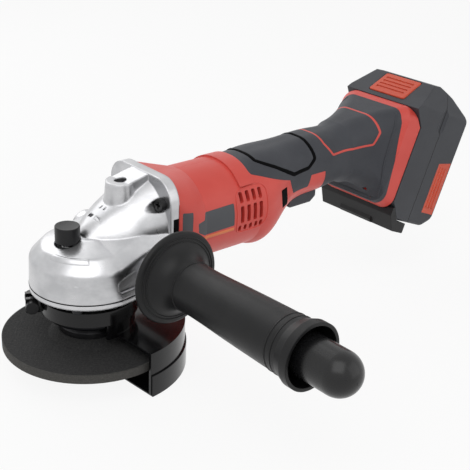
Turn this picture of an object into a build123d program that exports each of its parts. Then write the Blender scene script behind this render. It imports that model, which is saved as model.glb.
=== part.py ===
"""Cordless angle grinder, built up from its separate pieces.

The spindle turns about Z and its free lower end is the origin. The motor lies along X, with the
battery at the +X end, and the side handle points along -Y. All sizes are in millimetres.
"""
import os
from math import acos, cos, hypot, pi, radians, sin, sqrt, tan

from build123d import *

os.makedirs("parts", exist_ok=True)

# Fits
running = 0.05
seat = 0.02
free_gap = 0.4

# Where a solid lies along its own Z from the place that it is put at
standing = (Align.CENTER, Align.CENTER, Align.MIN)
hanging = (Align.CENTER, Align.CENTER, Align.MAX)

# Disc and spindle stack, upwards from the free end of the spindle
disc_diameter = 115.0
disc_thickness = 6.0
disc_bore_radius = 11.115
disc_hub_rise = 4.5
disc_hub_radius = 21.0
disc_slope_width = 6.5
nose_radius = 7.0
nose_free_length = 5.0
nose_groove = 0.4
nut_height = 8.5
nut_radius = 19.0
nut_spanner_circle = 15.0
nut_spanner_hole = 2.5
spigot_height = 2.2
inner_flange_thickness = 7.5
inner_flange_radius = 20.5
collar_radius = 9.0
collar_length = 12.0
spindle_seat_radius = 6.0
bush_bore_radius = 4.0
bush_radius = 6.0
bush_length = 7.0

# Bearing plate
bearing_radius = 16.0
bearing_width = 10.0
plate_thickness = 3.5
plate_tail = 27.0
spigot_radius = 28.0
spigot_drop = 19.5
plate_screw_circle = 34.3
plate_screw_radius = 2.0
plate_screw_head = 3.4

# Bevel gears
gear_teeth = 36
pinion_teeth = 12
gear_pitch_radius = 25.0
face_width = 7.0
pressure_angle = radians(20)
tooth_backlash = 0.16
gear_addendum = 0.7
tooth_dedendum = 1.25
gear_hub_radius = 9.0
gear_rim_depth = 7.5

# Spindle lock
lock_offset = 15.0
lock_pin_radius = 2.2
lock_hole_clearance = 0.5
lock_holes = 12
lock_hole_depth = 6.0
cap_radius = 8.0
cap_height = 10.8
cap_wall = 1.8

# Gear housing
motor_axis_rise = 28.5
drum_radius = 38.3
drum_wall = 4.8
shoulder_rise = 19.0
shoulder_slope_width = 8.6
shoulder_slope_rise = 8.5
shoulder_round = 5.0
deck_radius = 12.0
deck_rise = 32.5
tail_half_width = 33.0
tail_lift = 12.5
flange_front = 41.0
flange_back = 48.0
flange_width = 66.0
flange_low = 49.0
flange_high = 120.0
flange_corner = 15.0
register_radius = 27.4
boss_x = 25.5
boss_top = 116.0
boss_radius = 9.5
thread_radius = 4.0
thread_depth = 18.0
flange_screw_y = 25.0
flange_screw_high = 104.0
flange_screw_low = 57.0
flange_screw_head = 4.2
flange_screw_radius = 2.0
flange_screw_grip = 12.0

# Side handle
handle_x = 27.5
handle_z = 68.3
handle_boss_radius = 11.0
handle_boss_reach = 46.0
hand_flange_radius = 30.8
grip_start_radius = 16.2
grip_end_radius = 18.3
grip_rim_radius = 20.7
grip_end = 177.9
core_radius = 13.5
core_tip = 211.5

# Guard
guard_radius = 63.2
guard_sheet = 2.0
guard_clearance = 3.1
guard_depth = 31.0
guard_aim = 3.4
neck_sheet = 2.0
neck_top = 46.0
neck_ring_low = 33.0
neck_half_angle = 105.0
cover_sheet = 1.0
cover_rise = 15.0
cover_opening = 34.0
band_sheet = 2.0
band_low = 34.0
band_high = 44.0
band_ear_angle = 152.0
band_ear_reach = 9.0
band_ear_sheet = 3.0
band_gap = 5.0
band_screw_radius = 2.5

# Motor
shaft_radius = 5.0
pinion_seat_radius = 3.5
front_seat_radius = 4.5
front_bearing_radius = 12.0
front_bearing_width = 8.0
front_bearing_x = 37.0
rear_bearing_radius = 9.5
rear_bearing_width = 6.0
rear_bearing_x = 148.0
fan_x = 53.0
fan_length = 12.0
fan_radius = 25.5
fan_blades = 11
can_x = 74.0
can_length = 56.0
can_radius = 25.5
can_wall = 2.3
magnet_thickness = 4.2
magnet_span = 130.0
rotor_radius = 18.2
rotor_x = 84.0
rotor_length = 36.0
rotor_slots = 12
commutator_radius = 9.0
commutator_x = 134.0
commutator_length = 11.0
brush_width = 6.0
brush_height = 8.0
brush_reach = 24.0

# Motor housing and handle: wall, dark overmould, and the sections along X
grip_skin = 2.2
housing_wall = 2.2
barrel_radius = 32.5
barrel_corner = 31.0
barrel_front = 72.0
barrel_back = 122.0
saddle_front = 104.0
saddle_rise = 1.3
saddle_back = 116.5
saddle_low = 102.0
handle_width = 40.0
handle_low = 73.5
handle_high = 117.0
handle_corner = 17.5
handle_end = 222.0

# Foot and battery, in a frame that leans back by the battery's tilt
battery_tilt = radians(22.5)
joint_x = 256.0
joint_z = 58.5
foot_width = 73.0
foot_corner = 11.0
battery_half_width = 37.0
battery_wall = 2.4
battery_seam = 26.0
cell_radius = 9.1
cell_length = 65.0
cell_pitch = 18.8
first_cell = (23.4, -2.2)
rail_neck = 16.4
rail_half_width = 23.4
rail_lip = 5.0
rail_depth = 10.2
rail_top = 58.0
rail_clearance = 0.6
stop_back = 23.0
release_half_width = 18.0
release_length = 23.0
release_depth = 8.0
release_travel = 4.0

# Trigger and switch
trigger_half_width = 13.5
trigger_pivot = (169.5, 81.0)
trigger_pin_radius = 1.5
trigger_front = 165.5
trigger_back = 192.0
trigger_low = 66.0
trigger_high = 84.0
switch_low = 92.0
housing_screw_radius = 1.6
housing_screw_head = 3.4

# Heights of the spindle stack
nut_low = nose_free_length
hub_low = nut_low + nut_height
hub_high = hub_low + disc_thickness
rim_high = hub_high - disc_hub_rise
rim_low = rim_high - disc_thickness
flange_high_z = hub_high + inner_flange_thickness
bearing_low = flange_high_z + collar_length
bearing_high = bearing_low + bearing_width
plate_low = bearing_high + 0.5
plate_high = plate_low + plate_thickness
motor_z = plate_high + motor_axis_rise
guard_plate_high = hub_high + guard_clearance + guard_sheet
guard_low = guard_plate_high - guard_depth

# Bevel geometry: both pitch cones meet where the two axes cross
module_size = 2 * gear_pitch_radius / gear_teeth
pinion_pitch_radius = module_size * pinion_teeth / 2
cone_length = hypot(gear_pitch_radius, pinion_pitch_radius)
inner_scale = 1 - face_width / cone_length
cone_sin = pinion_pitch_radius / cone_length
cone_cos = gear_pitch_radius / cone_length
tooth_root = tooth_dedendum * module_size

motor_plane = Plane(origin=(0, 0, motor_z), x_dir=(0, 0, -1), z_dir=(1, 0, 0))
motor_profile = Plane(origin=(0, 0, motor_z), x_dir=(1, 0, 0), z_dir=(0, -1, 0))
motor_axis = Axis((0, 0, motor_z), (1, 0, 0))
handle_profile = Plane(origin=(handle_x, 0, handle_z), x_dir=(0, -1, 0), z_dir=(1, 0, 0))
handle_axis = Axis((handle_x, 0, handle_z), (0, -1, 0))
rail_up = Vector(sin(battery_tilt), 0, cos(battery_tilt))
rail_back = Vector(cos(battery_tilt), 0, -sin(battery_tilt))
joint_point = Vector(joint_x, 0, joint_z)
joint_plane = Plane(origin=joint_point, x_dir=(0, 1, 0), z_dir=rail_back)
pack_side = Plane(origin=joint_point, x_dir=rail_back, z_dir=(0, -1, 0))


def save(piece: BuildPart, name: str) -> None:
    """Label a finished piece and write it to its own file."""
    piece.part.label = name
    export_step(piece.part, f"parts/{name}.step")


def outline(plane: Plane, points: list, corner: float = 0) -> Sketch:
    """A closed face through the points, with all its corners rounded if asked."""
    with BuildSketch(plane) as face:
        with BuildLine():
            Polyline(*points, close=True)
        make_face()
        if corner:
            fillet(face.vertices(), corner)
    return face.sketch


def box_section(x: float, width: float, low: float, high: float, corner: float, inset: float) -> Sketch:
    """A rounded section of the housing, square to X, moved in by the inset."""
    with BuildSketch(Plane.YZ.offset(x)) as section:
        with Locations((0, (low + high) / 2)):
            RectangleRounded(width - 2 * inset, high - low - 2 * inset, corner - inset)
    return section.sketch


def foot_section(back: float, width: float, low: float, high: float, corner: float,
        inset: float) -> Sketch:
    """A rounded section of the foot, square to the battery's rail, moved in by the inset."""
    with BuildSketch(joint_plane.offset(back)) as section:
        with Locations((0, (low + high) / 2)):
            RectangleRounded(width - 2 * inset, high - low - 2 * inset, corner - inset)
    return section.sketch


def ball_bearing(inner: float, outer: float, width: float) -> Part:
    """Two races, standing on XY about Z, with a ring of balls between them."""
    middle = (inner + outer) / 2
    ball = (outer - inner) * 0.24
    race = (outer - inner) * 0.2
    with BuildPart() as bearing:
        for low, high in ((inner, inner + race), (outer - race, outer)):
            with BuildSketch(Plane.XZ) as ring:
                with Locations(((low + high) / 2, width / 2)):
                    Rectangle(high - low, width)
            revolve(axis=Axis.Z)
        with Locations((0, 0, width / 2)):
            Torus(middle, ball + seat, mode=Mode.SUBTRACT)
            with PolarLocations(middle, 9):
                Sphere(ball)
    return bearing.part


def coil(radius: float, wire: float, length: float, turns: int) -> Part:
    """A round wire wound about Z from the origin, on pairs of arcs that share their tangents."""
    steps = 4 * turns
    rise = (length - wire) / (2 * pi * turns)
    places = []
    for step in range(steps + 1):
        angle = step * pi / 2
        place = Vector(radius * cos(angle), radius * sin(angle), wire / 2 + rise * angle)
        heading = Vector(-radius * sin(angle), radius * cos(angle), rise).normalized()
        places.append((place, heading))
    with BuildPart() as spring:
        with BuildLine() as path:
            for (start, out), (end, into) in zip(places, places[1:]):
                chord = end - start
                square = 2 * (1 - out.dot(into))
                linear = 2 * chord.dot(out + into)
                reach = (-linear + sqrt(linear**2 + 4 * square * chord.dot(chord))) / (2 * square)
                first = start + out * reach
                second = end - into * reach
                middle = (first + second) * 0.5
                TangentArc(start, middle, tangent=out)
                TangentArc(middle, end, tangent=(second - first).normalized())
        with BuildSketch(Plane(origin=places[0][0], z_dir=places[0][1])):
            Circle(wire / 2)
        sweep(path=path.line)
    print(f"coil gap {2 * pi * rise - wire:.2f} mm between turns")
    return spring.part


# Spindle, from its free nose up to the journal that runs in the top bush
bush_low = motor_z - 4.5
spindle_top = bush_low + bush_length
with BuildPart() as spindle:
    with BuildSketch(Plane.XZ):
        with BuildLine():
            Polyline(
                (0, 0), (nose_radius, 0), (nose_radius, nut_low - nose_groove),
                (nose_radius - nose_groove, nut_low), (nose_radius, nut_low + nose_groove),
                (nose_radius, flange_high_z), (collar_radius, flange_high_z),
                (collar_radius, bearing_low), (spindle_seat_radius, bearing_low),
                (spindle_seat_radius, bush_low - 2), (bush_bore_radius - running, bush_low - 2),
                (bush_bore_radius - running, spindle_top), (0, spindle_top), close=True,
            )
        make_face()
    revolve(axis=Axis.Z)
save(spindle, "spindle")

with BuildPart() as spindle_bearing:
    with Locations((0, 0, bearing_low)):
        add(ball_bearing(spindle_seat_radius + running, bearing_radius, bearing_width))
save(spindle_bearing, "spindle_bearing")

with BuildPart() as spindle_bush:
    with Locations((0, 0, bush_low)):
        Cylinder(bush_radius, bush_length, align=standing)
        Cylinder(bush_bore_radius, bush_length, align=standing, mode=Mode.SUBTRACT)
save(spindle_bush, "spindle_bush")

# Bevel gear: a straight tooth that shrinks towards the point where the axes cross
pitch_out = Vector(gear_pitch_radius, 0, -pinion_pitch_radius)
half_tooth = pi * module_size / 4 - tooth_backlash
with BuildPart() as gear_tooth:
    for scale in (1.0, inner_scale):
        tip = gear_addendum * module_size
        root = tooth_root + 0.5
        tip_half = half_tooth - tip * tan(pressure_angle)
        root_half = half_tooth + root * tan(pressure_angle)
        tooth_plane = Plane(Vector(0, 0, motor_z) + pitch_out * scale, x_dir=(0, 1, 0), z_dir=pitch_out)
        with BuildSketch(tooth_plane):
            with BuildLine():
                Polyline(
                    (-tip_half * scale, tip * scale), (tip_half * scale, tip * scale),
                    (root_half * scale, -root * scale), (-root_half * scale, -root * scale), close=True,
                )
            make_face()
    loft(ruled=True)

# The root cone runs a little past both ends of the teeth
gear_rim_scale = 1.02
gear_well_scale = inner_scale - 0.02
gear_root_depth = pinion_pitch_radius + tooth_root * cone_cos
gear_root_radius = (gear_pitch_radius - tooth_root * cone_sin) * gear_rim_scale
gear_root_z = motor_z - gear_root_depth * gear_rim_scale
gear_inner_radius = (gear_pitch_radius - tooth_root * cone_sin) * gear_well_scale
gear_inner_z = motor_z - gear_root_depth * gear_well_scale
gear_web_z = gear_inner_z - 1.2
gear_rim_z = gear_root_z - gear_rim_depth
with BuildPart() as bevel_gear:
    with BuildSketch(Plane.XZ):
        with BuildLine():
            Polyline(
                (spindle_seat_radius + seat, bearing_high), (gear_hub_radius, bearing_high),
                (gear_hub_radius, gear_rim_z), (gear_root_radius, gear_rim_z),
                (gear_root_radius, gear_root_z),
                (gear_inner_radius, gear_inner_z), (gear_inner_radius, gear_web_z),
                (spindle_seat_radius + seat, gear_web_z), close=True,
            )
        make_face()
    revolve(axis=Axis.Z)
    with PolarLocations(0, gear_teeth, start_angle=180 / gear_teeth):
        add(gear_tooth.part)
    with Locations((0, 0, gear_web_z)):
        with PolarLocations(lock_offset, lock_holes):
            Hole(lock_pin_radius + lock_hole_clearance, lock_hole_depth)
save(bevel_gear, "bevel_gear")

# Pinion, with an involute tooth on the back cone of its large end
virtual_radius = pinion_pitch_radius / cone_cos
base_radius = virtual_radius * cos(pressure_angle)
pitch_half_angle = pi * module_size / 4 / virtual_radius - tooth_backlash / virtual_radius
pitch_involute = tan(pressure_angle) - pressure_angle


def pinion_flank(radius: float) -> tuple:
    """The tooth's half width and height above the pitch circle at a radius of the back cone."""
    opening = acos(min(1.0, base_radius / radius))
    angle = pitch_half_angle + pitch_involute - (tan(opening) - opening)
    return radius * sin(angle), radius * cos(angle) - virtual_radius


pitch_in = Vector(pinion_pitch_radius, 0, gear_pitch_radius)
flank_low = virtual_radius - tooth_root - 0.3
flank_high = virtual_radius + module_size
flank_step = (flank_high - base_radius) / 3
flank_radii = [flank_low, base_radius] + [base_radius + flank_step * k for k in (1, 2, 3)]
flank = [pinion_flank(radius) for radius in flank_radii]
with BuildPart() as pinion_tooth:
    for scale in (1.0, inner_scale):
        tooth_plane = Plane(pitch_in * scale, x_dir=(0, -1, 0), z_dir=pitch_in)
        right_side = [(x * scale, y * scale) for x, y in flank]
        left_side = [(-x, y) for x, y in reversed(right_side)]
        with BuildSketch(tooth_plane):
            with BuildLine():
                Polyline(*right_side, *left_side, close=True)
            make_face()
    loft(ruled=True)

pinion_root_radius = pinion_pitch_radius - tooth_root * cone_cos
pinion_root_x = gear_pitch_radius + tooth_root * cone_sin
pinion_inner_radius = pinion_root_radius * inner_scale
pinion_inner_x = pinion_root_x * inner_scale
pinion_back = front_bearing_x - 1.0
with BuildPart(motor_plane) as pinion:
    with BuildSketch(motor_profile):
        with BuildLine():
            Polyline(
                (pinion_inner_x, pinion_seat_radius + seat), (pinion_inner_x, pinion_inner_radius),
                (pinion_root_x, pinion_root_radius), (pinion_back, pinion_root_radius),
                (pinion_back, pinion_seat_radius + seat), close=True,
            )
        make_face()
    revolve(axis=motor_axis)
    with PolarLocations(0, pinion_teeth):
        add(pinion_tooth.part)
save(pinion, "pinion")

# Inner flange, disc and lock nut on the nose
with BuildPart() as inner_flange:
    with BuildSketch(Plane.XZ):
        with BuildLine():
            Polyline(
                (nose_radius + running, hub_high - spigot_height),
                (disc_bore_radius - running, hub_high - spigot_height),
                (disc_bore_radius - running, hub_high), (inner_flange_radius, hub_high),
                (inner_flange_radius, hub_high + inner_flange_thickness * 0.5),
                (inner_flange_radius - 3, flange_high_z), (nose_radius + running, flange_high_z),
                close=True,
            )
        make_face()
    revolve(axis=Axis.Z)
save(inner_flange, "inner_flange")

disc_radius = disc_diameter / 2
disc_slope = disc_hub_radius + disc_slope_width
with BuildPart() as grinding_disc:
    with BuildSketch(Plane.XZ):
        with BuildLine():
            Polyline(
                (disc_bore_radius, hub_low), (disc_hub_radius - 1, hub_low), (disc_slope - 1, rim_low),
                (disc_radius, rim_low), (disc_radius, rim_high), (disc_slope, rim_high),
                (disc_hub_radius, hub_high), (disc_bore_radius, hub_high), close=True,
            )
        make_face()
    revolve(axis=Axis.Z)
save(grinding_disc, "grinding_disc")

with BuildPart() as lock_nut:
    with BuildSketch(Plane.XZ):
        with BuildLine():
            Polyline(
                (nose_radius + running, nut_low), (nut_radius - 1, nut_low), (nut_radius, nut_low + 1),
                (nut_radius, hub_low), (disc_bore_radius - running, hub_low),
                (disc_bore_radius - running, hub_low + spigot_height),
                (nose_radius + running, hub_low + spigot_height),
                close=True,
            )
        make_face()
    revolve(axis=Axis.Z)
    with Locations(Location((0, 0, nut_low), (180, 0, 0))):
        with PolarLocations(nut_spanner_circle, 4):
            Hole(nut_spanner_hole, nut_height * 0.6)
save(lock_nut, "lock_nut")

# Bearing plate: a flat foot under the gear housing, with the spigot that carries the guard
tail_slope = (drum_radius - tail_half_width) / flange_front


def footprint(plane: Plane, tail: float) -> Sketch:
    """The head's plan: round in front, with sides that draw in towards the tail."""
    with BuildSketch(plane) as plan:
        with BuildLine():
            front = ThreePointArc((0, drum_radius), (-drum_radius, 0), (0, -drum_radius))
            Polyline(front @ 1, (tail, tail_slope * tail - drum_radius),
                (tail, drum_radius - tail_slope * tail), front @ 0)
        make_face()
    return plan.sketch


plate_screw_angles = (60, 135, 225, 300)
with BuildPart() as bearing_plate:
    extrude(footprint(Plane.XY.offset(plate_low), plate_tail), plate_thickness)
    with Locations((0, 0, plate_low)):
        Cylinder(spigot_radius, spigot_drop, align=hanging)
    with Locations((0, 0, plate_high)):
        Hole(collar_radius + 1, plate_high)
    with Locations((0, 0, bearing_low)):
        Cylinder(bearing_radius + seat, plate_high, align=standing, mode=Mode.SUBTRACT)
    for angle in plate_screw_angles:
        with Locations((plate_screw_circle * cos(radians(angle)),
                plate_screw_circle * sin(radians(angle)), plate_high)):
            Hole(plate_screw_radius + seat, plate_thickness)
save(bearing_plate, "bearing_plate")

plate_screw_length = 11.0
with BuildPart() as bearing_plate_screws:
    for angle in plate_screw_angles:
        with Locations((plate_screw_circle * cos(radians(angle)),
                plate_screw_circle * sin(radians(angle)), plate_low)):
            Cylinder(plate_screw_head, 3, align=hanging)
            Cylinder(plate_screw_radius, plate_screw_length, align=standing)
save(bearing_plate_screws, "bearing_plate_screws")

# Gear housing: half a drum in front, a body that rises to the rear flange, and a vaulted dome above
shoulder_z = plate_high + shoulder_rise
slope_z = shoulder_z + shoulder_slope_rise
deck_z = plate_high + deck_rise
slope_radius = drum_radius - shoulder_slope_width


def head_side(half_width: float, lift: float, draft: float) -> list:
    """Corners of the head's section on one side, upwards from the bearing plate."""
    shrink = drum_radius - half_width
    return [
        (half_width, plate_high), (half_width - draft, shoulder_z + lift),
        (slope_radius - shrink, slope_z + lift), (deck_radius, deck_z + lift),
    ]


def head_profile(x: float, half_width: float, lift: float, draft: float) -> Sketch:
    """The head's section square to X, with rounded shoulders."""
    side = head_side(half_width, lift, draft)
    with BuildSketch(Plane.YZ.offset(x)) as section:
        with BuildLine():
            Polyline(*side, *[(-y, z) for y, z in reversed(side)], close=True)
        make_face()
        fillet(section.vertices().filter_by(lambda corner: corner.Y > shoulder_z - 1), shoulder_round)
    return section.sketch


drum_draft = 0.7
dome_sections = (
    (-6.0, 9.0, 8.0, 79.0), (4.0, 18.0, 18.0, 77.5), (14.0, 25.0, 25.0, 76.5), (27.0, 29.5, 32.0, 77.0),
    (flange_front, 32.5, 38.5, 78.0),
)
boss_spread = 12.5
crown_slots = (((12.0, 1.5, 100.0), (15.5, 11.5, 90.5)), ((4.0, 1.5, 97.0), (7.5, 10.0, 90.5)))
crown_slot_width = 2.4
crown_slot_depth = 1.2
pocket_floor = deck_z - 6.3
cap_low = deck_z - 1.3
gear_clear = motor_z - 4.9
tunnel_radius = front_bearing_radius
side_slope = (drum_radius - tail_half_width) / flange_front
side_middle = 20.0
recess_depth = 1.5
recess_outline = [(-23.0, -8.0), (20.0, -8.0), (20.0, 10.5), (-23.0, 0.0)]
with BuildPart() as side_recess:
    wall_y = drum_radius - side_slope * side_middle - recess_depth
    wall_plane = Plane(origin=(side_middle, -wall_y, 66.0), x_dir=(1, side_slope, 0),
        z_dir=(side_slope, -1, 0))
    extrude(outline(wall_plane, recess_outline, 3.5), 12)
    mirror(about=Plane.XZ)

with BuildPart() as gear_housing:
    with BuildSketch(Plane.YZ) as half_drum:
        with BuildLine():
            Polyline((0, plate_high), *head_side(drum_radius, 0, drum_draft), (0, deck_z), close=True)
        make_face()
        rounded = half_drum.vertices().filter_by(lambda corner: corner.Y > shoulder_z - 1 and corner.X > 1)
        fillet(rounded, shoulder_round)
    revolve(axis=Axis.Z, revolution_arc=180)
    loft(sections=[
        head_profile(0, drum_radius, 0, drum_draft),
        head_profile(flange_front, tail_half_width, tail_lift, 0),
    ])
    for x, half_width, half_height, middle in dome_sections:
        with BuildSketch(Plane.YZ.offset(x)):
            with Locations((0, middle)):
                Ellipse(half_width, half_height)
    loft()
    with Locations((flange_front, 0, plate_high)):
        Box(200, 200, 100, align=(Align.MAX, Align.CENTER, Align.MAX), mode=Mode.SUBTRACT)
    with Locations((boss_x, 0, deck_z)):
        Cone(boss_spread, boss_radius, boss_top - deck_z, align=standing)
    extrude(outline(Plane.XZ, [
        (boss_x, deck_z), (boss_x, boss_top), (flange_front, flange_high - 0.5), (flange_front, deck_z),
    ]), boss_radius - 0.5, both=True)
    add(side_recess.part, mode=Mode.SUBTRACT)
    extrude(box_section(flange_front, flange_width, flange_low, flange_high, flange_corner, 0),
        flange_back - flange_front)
    with Locations((handle_x, 0, handle_z)):
        Cylinder(handle_boss_radius, 2 * handle_boss_reach, rotation=(90, 0, 0))
    with Locations((flange_back, 0, motor_z)):
        Cylinder(register_radius, 3, rotation=(0, 90, 0),
                 align=standing)
    # Four shallow slots on the crown of the dome
    for side in (-1, 1):
        for start, end in crown_slots:
            first = Vector(start[0], side * start[1], start[2])
            second = Vector(end[0], side * end[1], end[2])
            outward = Vector(-0.25, side * 0.65, 0.72)
            with Locations(Plane(origin=(first + second) * 0.5, x_dir=second - first, z_dir=outward)):
                Box((second - first).length, crown_slot_width, 2 * crown_slot_depth, mode=Mode.SUBTRACT)
    # Gear chamber, closed above by the ceiling that holds the top bush
    with BuildSketch(Plane.XZ):
        with BuildLine():
            Polyline(
                (0, plate_high - 1), (drum_radius - drum_wall, plate_high - 1),
                (drum_radius - drum_wall, shoulder_z - 2), (slope_radius - 3, gear_clear),
                (0, gear_clear), close=True,
            )
        make_face()
    revolve(axis=Axis.Z, mode=Mode.SUBTRACT)
    for angle in plate_screw_angles:
        with Locations((plate_screw_circle * cos(radians(angle)),
                plate_screw_circle * sin(radians(angle)), plate_high)):
            Cylinder(drum_radius - plate_screw_circle - 0.2, 13, align=standing)
    with Locations((0, 0, gear_clear - 1)):
        Cylinder(bush_radius + seat, bush_low + bush_length + 1.5 - gear_clear, align=standing,
                 mode=Mode.SUBTRACT)
    # Tunnel for the pinion and its bearing, open to the motor
    with Locations((pinion_inner_x - 2, 0, motor_z)):
        Cylinder(tunnel_radius + seat, flange_back, rotation=(0, 90, 0), align=standing,
                 mode=Mode.SUBTRACT)
    with Locations((front_bearing_x + front_bearing_width, 0, motor_z)):
        Cylinder(front_bearing_radius + 10, flange_back, rotation=(0, 90, 0),
                 align=standing, mode=Mode.SUBTRACT)
    # Lock button pocket and the guide of its pin
    with Locations((-lock_offset, 0, pocket_floor)):
        Cylinder(cap_radius + 0.3, 40, align=standing, mode=Mode.SUBTRACT)
        Cylinder(lock_pin_radius + running, 20, mode=Mode.SUBTRACT)
    # Threads for the side handle on both sides and on top
    with Locations((handle_x, 0, handle_z)):
        for side in (-1, 1):
            with Locations((0, side * (handle_boss_reach - thread_depth / 2), 0)):
                Cylinder(thread_radius + running, thread_depth, rotation=(90, 0, 0), mode=Mode.SUBTRACT)
    with Locations((boss_x, 0, boss_top)):
        Hole(thread_radius + running, thread_depth)
    # Screw holes through the flange, with room for their heads in front
    for side in (-1, 1):
        for height, room in ((flange_screw_high, 24.0), (flange_screw_low, 10.0)):
            with Locations((flange_front, side * flange_screw_y, height)):
                Cylinder(flange_screw_radius + seat, 2 * flange_back, rotation=(0, 90, 0),
                    mode=Mode.SUBTRACT)
                Cylinder(flange_screw_head + 0.8, room, rotation=(0, 90, 0),
                         align=hanging, mode=Mode.SUBTRACT)
    for angle in plate_screw_angles:
        with Locations((plate_screw_circle * cos(radians(angle)),
                plate_screw_circle * sin(radians(angle)), plate_high)):
            Cylinder(plate_screw_radius + seat, 2 * plate_screw_length, mode=Mode.SUBTRACT)
save(gear_housing, "gear_housing")

with BuildPart() as gear_housing_screws:
    for side in (-1, 1):
        for height in (flange_screw_high, flange_screw_low):
            with Locations((flange_front, side * flange_screw_y, height)):
                Cylinder(flange_screw_head, 4, rotation=(0, 90, 0), align=hanging)
                Cylinder(flange_screw_radius, flange_back - flange_front + flange_screw_grip,
                    rotation=(0, 90, 0),
                         align=standing)
    with Locations(*[(flange_front - 4, side * flange_screw_y, height)
                     for side in (-1, 1) for height in (flange_screw_high, flange_screw_low)]):
        Box(4, 1.4, 5, mode=Mode.SUBTRACT)
        Box(4, 5, 1.4, mode=Mode.SUBTRACT)
save(gear_housing_screws, "gear_housing_screws")

# Spindle lock: a cap on a pin that a spring lifts clear of the gear
cap_high = cap_low + cap_height
pin_low = gear_web_z + 1.6
with BuildPart() as spindle_lock_button:
    with Locations((-lock_offset, 0, cap_low)):
        Cylinder(cap_radius, cap_height, align=standing)
        Cylinder(cap_radius - cap_wall, cap_height - 3, align=standing, mode=Mode.SUBTRACT)
    fillet(spindle_lock_button.edges().group_by(Axis.Z)[-1], 1)
    with Locations((-lock_offset, 0, cap_high + 60 - 0.8)):
        Sphere(60, mode=Mode.SUBTRACT)
save(spindle_lock_button, "spindle_lock_button")

with BuildPart() as spindle_lock_pin:
    with Locations((-lock_offset, 0, pin_low)):
        Cylinder(lock_pin_radius, cap_high - 3 - pin_low, align=standing)
save(spindle_lock_pin, "spindle_lock_pin")

lock_spring_wire = 0.8
with BuildPart() as spindle_lock_spring:
    with Locations((-lock_offset, 0, pocket_floor + seat)):
        add(coil(3.6, lock_spring_wire, cap_high - 3 - pocket_floor - 2 * seat, 5))
save(spindle_lock_spring, "spindle_lock_spring")

# Guard: half a drum of sheet, hung on a neck that turns on the spigot
neck_inner = spigot_radius + running
neck_outer = neck_inner + neck_sheet


def half_ring(plane: Plane, outer: float, inner: float, span: float) -> Sketch:
    """A sector of a ring, centred on the way the guard faces."""
    reach = 3 * outer
    half = radians(span / 2)
    with BuildSketch(plane.rotated((0, 0, guard_aim))) as ring:
        Circle(outer)
        if inner:
            Circle(inner, mode=Mode.SUBTRACT)
        with BuildLine():
            wedge = [(0, 0), (reach * cos(half), -reach * sin(half)), (reach, -reach * sin(half)),
                     (reach, reach * sin(half)), (reach * cos(half), reach * sin(half))]
            Polyline(*wedge, close=True)
        make_face(mode=Mode.INTERSECT)
    return ring.sketch


guard_span = 180.0
with BuildPart() as guard:
    extrude(half_ring(Plane.XY.offset(guard_plate_high - guard_sheet), guard_radius, neck_inner,
        guard_span), guard_sheet)
    extrude(half_ring(Plane.XY.offset(guard_low + cover_sheet + seat), guard_radius,
        guard_radius - guard_sheet, guard_span),
            guard_depth - cover_sheet - seat)
    extrude(half_ring(Plane.XY.offset(guard_plate_high - guard_sheet), neck_outer, neck_inner,
        2 * neck_half_angle),
            neck_top - guard_plate_high + guard_sheet)
    with BuildSketch(Plane.XY.offset(neck_ring_low)):
        Circle(neck_outer)
        Circle(neck_inner, mode=Mode.SUBTRACT)
    extrude(amount=neck_top - neck_ring_low)
save(guard, "guard")

cover_inner = guard_radius + seat
with BuildPart() as guard_cover:
    extrude(half_ring(Plane.XY.offset(guard_low), cover_inner + cover_sheet, cover_opening,
        guard_span - 1), cover_sheet)
    extrude(half_ring(Plane.XY.offset(guard_low), cover_inner + cover_sheet, cover_inner,
        guard_span - 1), cover_rise)
save(guard_cover, "guard_cover")

band_inner = neck_outer + running
band_outer = band_inner + band_sheet
ear_plane = Plane.XY.rotated((0, 0, band_ear_angle))
ear_middle = (band_outer + band_outer + band_ear_reach) / 2
with BuildPart() as guard_clamp_band:
    with BuildSketch(ear_plane.offset(band_low)):
        Circle(band_outer)
        with Locations((ear_middle - 1, 0)):
            Rectangle(band_ear_reach + 2, band_gap + 2 * band_ear_sheet)
        Circle(band_inner, mode=Mode.SUBTRACT)
        with Locations((ear_middle, 0)):
            Rectangle(band_ear_reach * 2, band_gap, mode=Mode.SUBTRACT)
    extrude(amount=band_high - band_low)
    with Locations(ear_plane.offset((band_low + band_high) / 2)):
        with Locations((ear_middle + 0.5, 0, 0)):
            Cylinder(band_screw_radius + seat, 40, rotation=(90, 0, 0), mode=Mode.SUBTRACT)
save(guard_clamp_band, "guard_clamp_band")

with BuildPart() as guard_clamp_screw:
    with Locations(ear_plane.offset((band_low + band_high) / 2)):
        with Locations((ear_middle + 0.5, 0, 0)):
            Cylinder(band_screw_radius, band_gap + 2 * band_ear_sheet + 8, rotation=(90, 0, 0))
            with Locations((0, band_gap / 2 + band_ear_sheet + 2, 0)):
                Cylinder(4.2, 4, rotation=(90, 0, 0))
            with Locations((0, -band_gap / 2 - band_ear_sheet - 2, 0)):
                Cylinder(4.2, 4, rotation=(90, 0, 0))
save(guard_clamp_screw, "guard_clamp_screw")

# Armature: shaft, laminated core, winding heads, commutator and fan
shaft_end = rear_bearing_x + rear_bearing_width
with BuildPart() as armature_shaft:
    with BuildSketch(motor_profile):
        with BuildLine():
            Polyline(
                (pinion_inner_x - 1, 0), (pinion_inner_x - 1, pinion_seat_radius),
                (pinion_back, pinion_seat_radius),
                (pinion_back, front_seat_radius),
                (front_bearing_x + front_bearing_width, front_seat_radius),
                (front_bearing_x + front_bearing_width, shaft_radius), (rear_bearing_x, shaft_radius),
                (rear_bearing_x, pinion_seat_radius), (shaft_end, pinion_seat_radius), (shaft_end, 0),
                close=True,
            )
        make_face()
    revolve(axis=motor_axis)
save(armature_shaft, "armature_shaft")

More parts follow.
